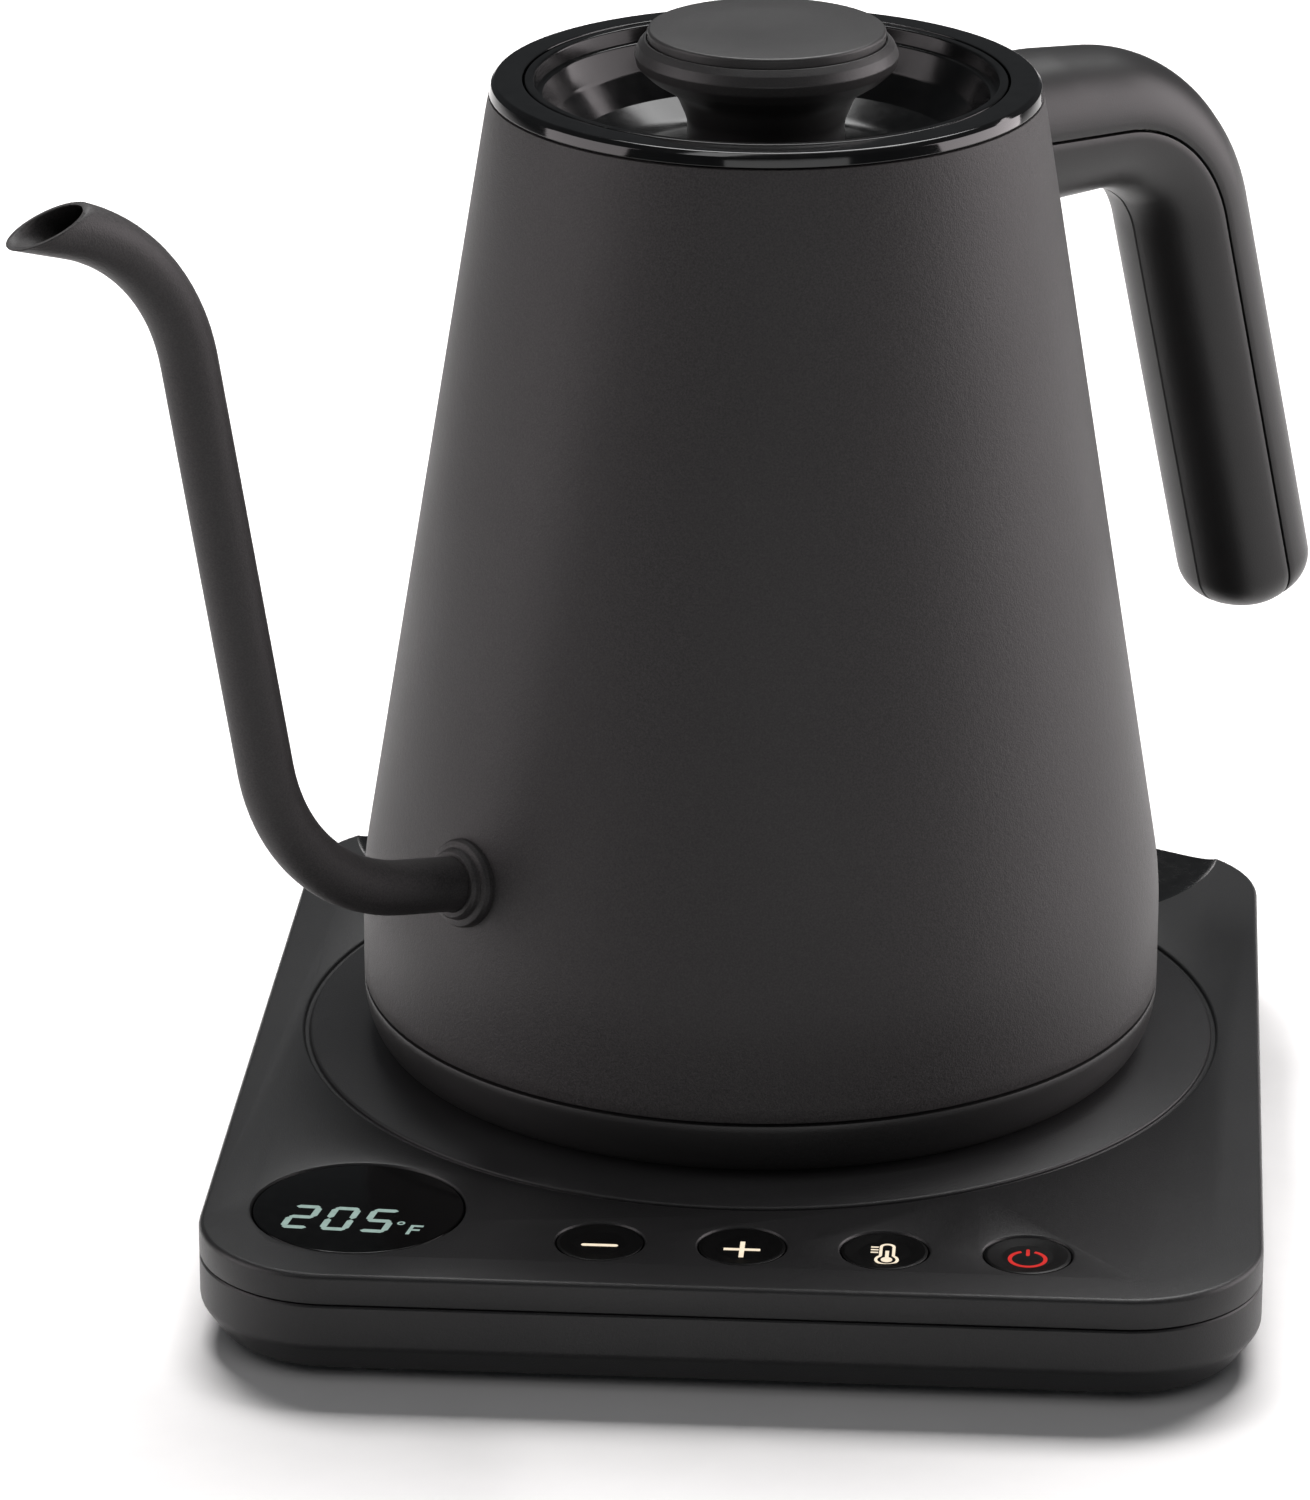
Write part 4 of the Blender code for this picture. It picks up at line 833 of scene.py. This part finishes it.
def make_connector():
    """The post on the base, and the kettle's socket that sits over it."""
    foot = 10.0
    shelf = BASE_TOP - SHELL_WALL - 0.3
    post = [(3.4, POST_TOP, 0.3), (8.0, POST_TOP, 0.4), (8.0, foot + 3, 0), (10.4, foot + 3, 0),
            (10.4, POST_TOP, 0.4), (POST_RADIUS - 1.0, POST_TOP, 0.8), (POST_RADIUS, POST_TOP - 2.2, 1.2),
            (POST_RADIUS, BASE_TOP + 0.6, 0.3), (POST_RADIUS - 0.3, BASE_TOP + 0.2, 0.1),
            (POST_RADIUS - 0.3, shelf, 0), (20, shelf, 0.3), (20, foot, 0.3), (3.4, foot, 0)]
    housing = turned("connector_post", rounded(post, 5), ROUND_STEPS, True, BASE)
    dress(housing, BASE_BODY, "satin_plastic", [SATIN_PLASTIC], "base_connector_housing")
    for name, node, inner, outer, low in (("centre_contact", "base_centre_contact", 2.0, 3.0, foot),
                                          ("ring_contact", "base_ring_contact", 9.6, 10.0, foot + 3.3)):
        profile = rounded([(inner, 21.5, 0.15), (outer, 21.5, 0.15), (outer, low, 0), (inner, low, 0)], 3)
        contact = turned(name, profile, SMALL_STEPS, True, BASE)
        dress(contact, BASE_BODY, "brass_contact", [BRASS], node)
    cavity_top = POST_TOP - BASE_TOP + 0.4
    cavity = POST_RADIUS + 0.5
    socket = [(0, cavity_top + 2, 0), (cavity + 1.6, cavity_top + 2, 0.5), (cavity + 1.6, 0.6, 0.3),
              (cavity + 0.8, 0.4, 0.3), (cavity, 1.2, 0.3), (cavity, cavity_top, 0.6), (0, cavity_top, 0)]
    cup = turned("socket_cup", rounded(socket, 5, False), ROUND_STEPS, False)
    dress(cup, CONNECTOR_BODY, "satin_plastic", [SATIN_PLASTIC], "kettle_connector")
    low = 22.2 - BASE_TOP
    high = cavity_top - 0.3
    pin_line = [(0, high, 0), (1.5, high, 0), (1.5, low + 0.7, 0.5), (0.7, low, 0.4), (0, low, 0)]
    pin = turned("centre_pin", rounded(pin_line, 5, False), SMALL_STEPS, False)
    dress(pin, CONNECTOR_BODY, "brass_contact", [BRASS], "contact_pin")
    blade_line = [(8.4, high, 0), (9.2, high, 0), (9.2, low, 0.25), (8.4, low, 0.25)]
    blade = turned("ring_blade", rounded(blade_line, 4), ROUND_STEPS)
    dress(blade, CONNECTOR_BODY, "brass_contact", [BRASS], "contact_blade")


# ---- kettle body ----

def cone_radius(z):
    return CONE_RADIUS_AT_0 - CONE_SLOPE * z


def side_radius(z):
    """Outer radius of the vessel at a height: cone, short blend, upright foot."""
    if z >= BLEND_TOP:
        return cone_radius(z)
    if z <= WALL_TOP:
        return WALL_RADIUS
    share = (z - WALL_TOP) / (BLEND_TOP - WALL_TOP)
    return WALL_RADIUS - share ** 2 * (WALL_RADIUS - cone_radius(BLEND_TOP))


def make_body():
    spacing = 2.6
    count = round((BODY_TOP - BODY_BOTTOM) / spacing)
    heights = [BODY_TOP - (BODY_TOP - BODY_BOTTOM) * i / count for i in range(count + 1)]
    lip = 0.3
    outer = [(side_radius(BODY_TOP) - lip, BODY_TOP), (side_radius(BODY_TOP) - 0.08, BODY_TOP - 0.1)]
    outer += [(side_radius(z), z) for z in heights[1:-1]]
    outer += [(WALL_RADIUS, BODY_BOTTOM + 0.45), (WALL_RADIUS - 0.1, BODY_BOTTOM + 0.12),
              (WALL_RADIUS - 0.4, BODY_BOTTOM)]
    inner = [(side_radius(z) - BODY_WALL, z) for z in heights[::-1]]
    shell = turned("kettle_wall", outer + inner)
    heading = Matrix.Rotation(SPOUT_ROOT_RISE - radians(90), 4, "Y")
    root = KETTLE @ Matrix.Translation((-SPOUT_ROOT[0], 0, SPOUT_ROOT[1])) @ heading
    cut(shell, cylinder("spout_hole", SPOUT_OUTER + 0.35, -12, 16, root))
    dress(shell, KETTLE_BODY, "coated_steel", [COATED_STEEL, BRUSHED_STEEL], "body_shell")
    facing_in(shell, AXIS, 1)
    collar = [(MOUTH_RADIUS + 0.4, RIM_TOP, 0.35), (45.4, RIM_TOP, 0.5), (46.05, RIM_TOP - 0.7, 0.4),
              (46.45, BODY_TOP + 0.3, 0.15), (44.9, BODY_TOP + 0.3, 0), (44.9, 167.4, 0), (45.2, 163, 0),
              (42.4, 160.5, 0.5), (42.4, 156, 0.2), (MOUTH_RADIUS, 156, 0.3), (MOUTH_RADIUS, RIM_TOP, 0.5)]
    rim = turned("upper_rim", rounded(collar, 7), 2 * ROUND_STEPS)
    dress(rim, KETTLE_BODY, "gloss_plastic", [GLOSS_PLASTIC], "rim_collar")


def make_bottom():
    hole = POST_RADIUS + 2.6
    wall = WALL_RADIUS
    side = [(wall - 0.35, COVER_TOP), (wall - 0.1, COVER_TOP - 0.12), (wall, COVER_TOP - 0.45)]
    turn_steps = 16
    reach, drop = 5.6, COVER_TOP - 0.9
    for step in range(1, turn_steps + 1):
        angle = radians(90) * step / turn_steps
        side.append((wall - reach * (1 - cos(angle) ** 0.9),
                     0.3 + drop * (1 - sin(angle) ** 1.12)))
    inside = rounded([(wall - 7.5, 0.3, 0.0), (hole + 0.3, 0.3, 0.3), (hole, 0.6, 0.2), (hole, 2.3, 0),
                      (wall - 6.5, 2.3, 1.5), (wall - 4.2, 4.8, 1.5), (wall - 2.8, 8, 0.5),
                      (wall - 2.6, COVER_TOP, 0)], 4, False)
    cover = turned("lower_cover", side + inside)
    for number in range(1, 4):
        node = "cover_screw_%d" % number
        place = place_on(node, AXIS.z)
        boss = cylinder("cover_boss", 3.6, 1.5, 11, place)
        add_boss(cover, boss, [(0, 12), (1.8, 12), (1.8, 2.6), (2.9, 2.6), (2.9, 0.8), (3.3, 0.2),
                               (3.3, -1), (0, -1)], place)
        make_screw("lower_" + node, node, KETTLE_BODY, place @ Matrix.Translation((0, 0, 2.3)),
                   2.6, 1.3, 1.4, 12.0)
    dress(cover, KETTLE_BODY, "satin_plastic", [SATIN_PLASTIC], "bottom_cover")


# ---- spout ----

def make_spout():
    path = bent_path(SPOUT_ROOT, SPOUT_ROOT_RISE, SPOUT_MOVES, 1.0)
    lengths = path_lengths(path)
    normal = Vector((sin(SPOUT_CUT_TILT), cos(SPOUT_CUT_TILT)))
    cut_at = Vector(SPOUT_CUT_POINT)

    def point_on(length, radius, turn):
        along, up, heading = station_at(path, lengths, length)
        out = radius * cos(turn)
        return Vector((-(along - out * sin(heading)), radius * sin(turn),
                       up + out * cos(heading)))

    def end_of(radius, turn, back):
        """How far along the path a line of the tube meets the tip's cut."""
        low, high = lengths[-1] - 60, lengths[-1]
        for _ in range(30):
            middle = (low + high) / 2
            point = point_on(middle, radius, turn)
            if (Vector((-point.x, point.z)) - cut_at).dot(normal) > -back:
                high = middle
            else:
                low = middle
        return low

    angles = [tau * i / TUBE_STEPS for i in range(TUBE_STEPS)]
    knee = lengths[-1] - 45
    straight_rows = 110
    tip_rows = 26

    def tube_rows(radius, back):
        ends = [end_of(radius, a, back) for a in angles]
        rows = [[point_on(knee * i / straight_rows, radius, a) for a in angles]
                for i in range(straight_rows)]
        for i in range(tip_rows + 1):
            rows.append([point_on(knee + (end - knee) * i / tip_rows, radius, a)
                         for a, end in zip(angles, ends)])
        return rows

    lip = 0.3
    outer = tube_rows(SPOUT_OUTER, lip)
    near_outer = tube_rows(SPOUT_OUTER - 0.14, 0.08)[-1]
    near_bore = tube_rows(SPOUT_BORE + 0.14, 0.08)[-1]
    bore = tube_rows(SPOUT_BORE, lip)
    tube = lofted("gooseneck_tube", outer + [near_outer, near_bore] + bore[::-1], ring=True)
    dress(tube, KETTLE_BODY, "coated_steel", [COATED_STEEL], "spout_tube")

    reach = (cone_radius(SPOUT_ROOT[1]) - SPOUT_ROOT[0]) / cos(SPOUT_ROOT_RISE)
    centre = (-(SPOUT_ROOT[0] + reach * cos(SPOUT_ROOT_RISE)), 0,
              SPOUT_ROOT[1] + reach * sin(SPOUT_ROOT_RISE))
    bore_radius = SPOUT_OUTER + 0.06
    ring_height = 2.7
    profile = [(bore_radius, ring_height, 0.1), (5.5, ring_height, 0.3), (6.0, 2.1, 0.3), (6.1, 1.5, 0.1),
               (6.5, 1.5, 0.2), (7.2, 1.3, 0.35), (7.5, 0.6, 0.3), (7.5, -0.6, 0), (bore_radius, -0.6, 0)]
    sections = []
    for radius, z in rounded(profile, 5):
        sections.append([])
        for x, y in circle((0, 0), radius, 2 * TUBE_STEPS):
            hug = y * y / (2 * cone_radius(SPOUT_ROOT[1])) * max(0.0, 1 - max(0.0, z) / ring_height)
            sections[-1].append((x, y, z - hug))
    lean = Matrix.Rotation(atan(CONE_SLOPE) - radians(90), 4, "Y")
    collar = lofted("spout_ring", sections, KETTLE @ Matrix.Translation(centre) @ lean, ring=True)
    dress(collar, KETTLE_BODY, "coated_steel", [COATED_STEEL], "spout_collar")


# ---- handle ----

def grip_size(length, whole):
    """Half width and half thickness of the handle at a distance along it."""
    root = max(0.0, 1 - length / HANDLE_ROOT_LENGTH)
    thick = HANDLE_HALF_THICK + (HANDLE_ROOT_THICK - HANDLE_HALF_THICK) * min(1.0, 1.6 * root)
    over = max(0.0, length - (whole - HANDLE_END_ROUND)) / HANDLE_END_ROUND
    shrink = HANDLE_END_ROUND * (1 - sqrt(max(0.0, 1 - over * over)))
    return HANDLE_HALF_WIDTH - shrink, thick - shrink


def half_section(width, thick, side):
    """(across, out) points round half a hollow grip, the inner half with a parting line."""
    count = 36
    power = 0.86
    outer = [(width - SEAM_ROUND, SEAM_HALF), (width - 0.3 * SEAM_ROUND, SEAM_HALF + 0.06),
             (width - 0.04, SEAM_HALF + 0.5 * SEAM_ROUND)]
    for i in range(1, count):
        angle = pi * i / count
        x = width * cos(angle)
        y = SEAM_HALF + (thick - SEAM_HALF) * sin(angle) ** power
        if y > SEAM_HALF + SEAM_ROUND:
            outer.append((x, y))
    outer += [(-x, y) for x, y in outer[2::-1]]
    if side < 0:
        middle = len(outer) // 2
        x, y = outer[middle]
        groove = [(x + 0.32, y), (x + 0.12, y - 0.22), (x - 0.12, y - 0.22), (x - 0.32, y)]
        outer[middle:middle + 1] = groove
    inner = []
    for i in range(count + 1):
        angle = pi * (1 - i / count)
        inner.append(((width - HANDLE_WALL) * cos(angle),
                      SEAM_HALF + max(0.0, thick - HANDLE_WALL - SEAM_HALF) * sin(angle) ** power))
    return [(x, side * y) for x, y in outer + inner]


def square_to(station, outline):
    along, up, heading = station
    out_along, out_up = -sin(heading), cos(heading)
    return [(along + out * out_along, across, up + out * out_up) for across, out in outline]


def screw_frame(station):
    """The frame of a handle screw: its head under the arm, its shaft upwards."""
    along, up, heading = station
    out = Vector((-sin(heading), 0, cos(heading)))
    head = Vector((along, 0, up)) - out * (HANDLE_HALF_THICK - HANDLE_SCREW_SINK)
    turn = Vector((0, 0, 1)).rotation_difference(out).to_matrix().to_4x4()
    return KETTLE @ Matrix.Translation(head) @ turn


def make_handle():
    path = bent_path(HANDLE_START, HANDLE_DROP, HANDLE_MOVES, 1.2)
    lengths = path_lengths(path)
    whole = lengths[-1]
    stops = [length for length in lengths if length < whole - HANDLE_END_ROUND]
    ease = 14
    stops += [whole - HANDLE_END_ROUND * (1 - sin(radians(90) * i / ease)) for i in range(ease)]
    stops.append(whole - 0.002)
    gap = 0.15
    root = [(0, 190), (cone_radius(190) + gap, 190), (cone_radius(100) + gap, 100), (0, 100)]
    for name, node, side in (("handle_cover", "handle_outer_cover", 1),
                             ("handle_grip", "handle_inner_grip", -1)):
        sections = []
        for length in stops:
            outline = half_section(*grip_size(length, whole), side)
            sections.append(square_to(station_at(path, lengths, length), outline))
        half = lofted(name, sections)
        cut(half, turned("root_cut", root, 2 * ROUND_STEPS, False))
        for number, station in enumerate(HANDLE_SCREW_STATIONS, 1):
            place = screw_frame(station_at(path, lengths, station))
            if side > 0:
                make_screw("handle_fixing_%d" % number, "handle_screw_%d" % number, KETTLE_BODY, place,
                           2.6, 1.2, 1.4, HANDLE_HALF_THICK + 1.2)
            else:
                cut(half, cylinder("shaft_hole", 1.8, -1, 14, place),
                    cylinder("head_sink", 3.0, -20, 0.3, place))
        dress(half, KETTLE_BODY, "satin_plastic", [SATIN_PLASTIC], node)


# ---- lid ----

def make_lid():
    flange = MOUTH_RADIUS - 0.35
    hole = 1.9
    dish = [(flange, RIM_TOP - 0.05, 0.35), (flange, 168.7, 0.2), (37.4, 168.5, 0.5), (35.6, 164, 3),
            (31.6, 158.9, 4), (25.4, 155.0, 4), (16, LID_FLOOR - 1.8, 2), (hole, LID_FLOOR - 1.8, 0),
            (hole, LID_FLOOR, 0), (15, LID_FLOOR, 8), (26.4, 156.6, 10), (34.0, 160.6, 7),
            (37.9, 166.2, 8), (38.9, RIM_TOP - 0.05, 0.45)]
    bowl = turned("lid_bowl", rounded(dish, 9), 2 * ROUND_STEPS)
    dress(bowl, LID_BODY, "gloss_plastic", [BOWL_PLASTIC], "lid_dish")
    liner_radius = 38.9
    liner = [(liner_radius, 168.3, 0.2), (liner_radius, 150.2, 1.4), (34, 150.2, 0.4), (33.2, 150.6, 0.4),
             (28, 150.6, 0.4), (27.2, 150.2, 0.4), (hole, 150.2, 0), (hole, 151, 0), (37.4, 151, 0.8),
             (liner_radius - 0.8, 152, 0.5), (liner_radius - 0.8, 168.3, 0)]
    cup = turned("lid_cup", rounded(liner, 5))
    dress(cup, LID_BODY, "steel", [BRUSHED_STEEL], "lid_liner")
    seal = liner_radius + 0.05
    gasket = [(seal, 163.5, 0.2), (40.4, 163.2, 0.35), (40.4, 162.2, 0.35), (39.7, 161.6, 0.3),
              (39.7, 160.4, 0.3), (40.4, 159.8, 0.35), (40.4, 158.8, 0.35), (seal, 158.5, 0.2)]
    lips = turned("lid_seal", rounded(gasket, 4))
    dress(lips, LID_BODY, "silicone", [SILICONE], "lid_gasket")
    seat = KNOB_TOP - 2.6
    foot = LID_FLOOR + 0.3
    cap = KNOB_CAP_RADIUS
    knob = [(hole, seat, 0), (cap + 0.12, seat, 0.1), (cap + 0.12, seat + 0.85, 0.12),
            (cap + 0.5, seat + 0.9, 0.2), (KNOB_RADIUS - 0.7, seat - 0.15, 0.8),
            (KNOB_RADIUS, seat - 1.7, 0.7), (KNOB_RADIUS - 0.35, seat - 3.4, 1.2), (19.6, seat - 5.4, 5),
            (15.2, seat - 8.2, 5), (KNOB_STEM, seat - 13, 6), (KNOB_STEM, foot, 0.5), (hole, foot, 0)]
    neck = turned("knob_neck", rounded(knob, 8))
    dress(neck, LID_BODY, "satin_plastic", [KNOB_PLASTIC], "knob_body")
    top = [(0, KNOB_TOP - 0.12, 0), (cap * 0.6, KNOB_TOP - 0.02, 30), (cap - 0.05, KNOB_TOP - 0.05, 0.55),
           (cap - 0.1, seat + 0.3, 0.1), (0, seat + 0.3, 0)]
    disc = turned("knob_disc", rounded(top, 7, False), ROUND_STEPS, False)
    dress(disc, LID_BODY, "satin_plastic", [KNOB_PLASTIC], "knob_cap")
    place = KETTLE @ Matrix.Translation((0, 0, 149.9))
    make_screw("lid_knob_screw", "knob_screw", LID_BODY, place, 4.0, 1.6, 1.5, 24.0)


# ---- carried-over nodes ----

CARRIED = {
    "steel": (BRUSHED_STEEL, ("floor_plate", "heating_element", "temperature_sensor", "handle_bracket")),
    "aluminium": (ALUMINIUM, ("heat_plate",)),
    "moulded_white": (MOULDED_WHITE, ("display_module", "terminal_block", "thermal_cutout")),
    "circuit_board": (BOARD, ("control_board", "power_board")),
    "satin_plastic": (SATIN_PLASTIC, ("tact_switch_1", "tact_switch_2", "tact_switch_3", "tact_switch_4",
                                      "piezo_buzzer")),
    "relay_blue": (RELAY_BLUE, ("relay",)),
    "coil_yellow": (COIL_YELLOW, ("power_transformer",)),
}


def dress_carried():
    for slot, (mat, names) in CARRIED.items():
        for name in names:
            node = frame["nodes"][name]
            node.data.materials.clear()
            node.data.materials.append(mat)


# ---- studio ----

CAMERA_FROM_AXIS = (63.2, -1148.6, 490.4)
CAMERA_YAW = radians(4.07)
CAMERA_PITCH = radians(20.92)
CAMERA_ROLL = radians(0.065)
FLOOR_HALF = 8.0
DOME_RADIUS = 12.0
CAMERA_LENS = 170.8
CAMERA_SENSOR = 36.0


def make_camera():
    data = bpy.data.cameras.new("camera")
    data.lens = CAMERA_LENS
    data.sensor_width = CAMERA_SENSOR
    data.dof.use_dof = False
    camera = bpy.data.objects.new("camera", data)
    bpy.context.scene.collection.objects.link(camera)
    turn = (Matrix.Rotation(CAMERA_YAW, 4, "Z") @ Matrix.Rotation(radians(90) - CAMERA_PITCH, 4, "X")
            @ Matrix.Rotation(CAMERA_ROLL, 4, "Z"))
    camera.matrix_world = Matrix.Translation(AXIS + Vector(CAMERA_FROM_AXIS) * MM) @ turn
    bpy.context.scene.camera = camera


def area_light(name, place, target, size, power, colour=(1, 1, 1)):
    data = bpy.data.lights.new(name, "AREA")
    data.shape = "RECTANGLE"
    data.size, data.size_y = size
    data.energy = power
    data.color = colour
    light = bpy.data.objects.new(name, data)
    light.location = place
    aim = Vector(target) - Vector(place)
    light.rotation_mode = "QUATERNION"
    light.rotation_quaternion = aim.to_track_quat("-Z", "Y")
    bpy.context.scene.collection.objects.link(light)
    return light


def shine(floor, name, state, lights):
    """Lets lights fall on the floor alone, or on all but the floor."""
    receivers = bpy.data.collections.new(name)
    receivers.objects.link(floor)
    receivers.collection_objects[0].light_linking.link_state = state
    for light in lights:
        light.light_linking.receiver_collection = receivers


def make_studio():
    floor_bm = bmesh.new()
    bmesh.ops.create_grid(floor_bm, x_segments=2, y_segments=2, size=FLOOR_HALF)
    floor = new_piece("floor", floor_bm, Matrix.Identity(4))
    pale = grained("pale_floor", (0.9, 0.895, 0.895), (0.93, 0.925, 0.925), (0.7, 0.8), 0.02, 0.00001)
    floor.data.materials.append(pale)
    floor.visible_diffuse = False
    dome_bm = bmesh.new()
    bmesh.ops.create_uvsphere(dome_bm, u_segments=48, v_segments=24, radius=DOME_RADIUS)
    dome = new_piece("backdrop", dome_bm, Matrix.Identity(4))
    white, _, shader = new_material("white_backdrop")
    put(shader, Base_Color=BLACK, Emission_Color=WHITE, Emission_Strength=1.0)
    dome.data.materials.append(white)
    for ray in ("glossy", "diffuse", "shadow", "transmission"):
        setattr(dome, "visible_" + ray, False)
    world = bpy.data.worlds.new("soft_room")
    bpy.context.scene.world = world
    world.use_nodes = True
    put(world.node_tree.nodes["Background"], Color=(0.9, 0.95, 1.0, 1), Strength=0.07)
    warm = (1.0, 0.925, 0.945)
    middle = (0, 0, 0.1)
    shine(floor, "all_but_floor", "EXCLUDE", [
        area_light("left_panel", (-1.2, -0.3, 0.45), middle, (1.0, 0.9), 7.5, warm),
        area_light("right_panel", (1.25, 0.3, 0.45), middle, (1.3, 0.9), 15.5, warm),
        area_light("front_panel", (0.4, -1.9, 0.3), middle, (1.8, 0.6), 4.5),
        area_light("top_panel", (0.15, 0.75, 1.5), middle, (1.2, 0.8), 27),
        area_light("overhead_strip", (0.1, -0.2, 1.2), middle, (1.3, 0.16), 2.0)])
    floor_colour = (1.0, 0.98, 0.975)
    shine(floor, "only_floor", "INCLUDE", [
        area_light("floor_panel", (0.04, 0.8, 1.5), (0, 0, 0), (1.5, 0.6), 56, floor_colour),
        area_light("floor_fill", (0.0, -1.5, 1.7), (0, 0, 0), (2.4, 1.6), 8, floor_colour)])
    scene = bpy.context.scene
    scene.view_settings.view_transform = "Standard"
    scene.view_settings.look = "None"


make_camera()
make_studio()
make_base_top()
make_base_bottom()
make_base_fasteners()
make_display()
make_buttons()
make_gland()
make_connector()
make_body()
make_bottom()
make_spout()
make_handle()
make_lid()
dress_carried()
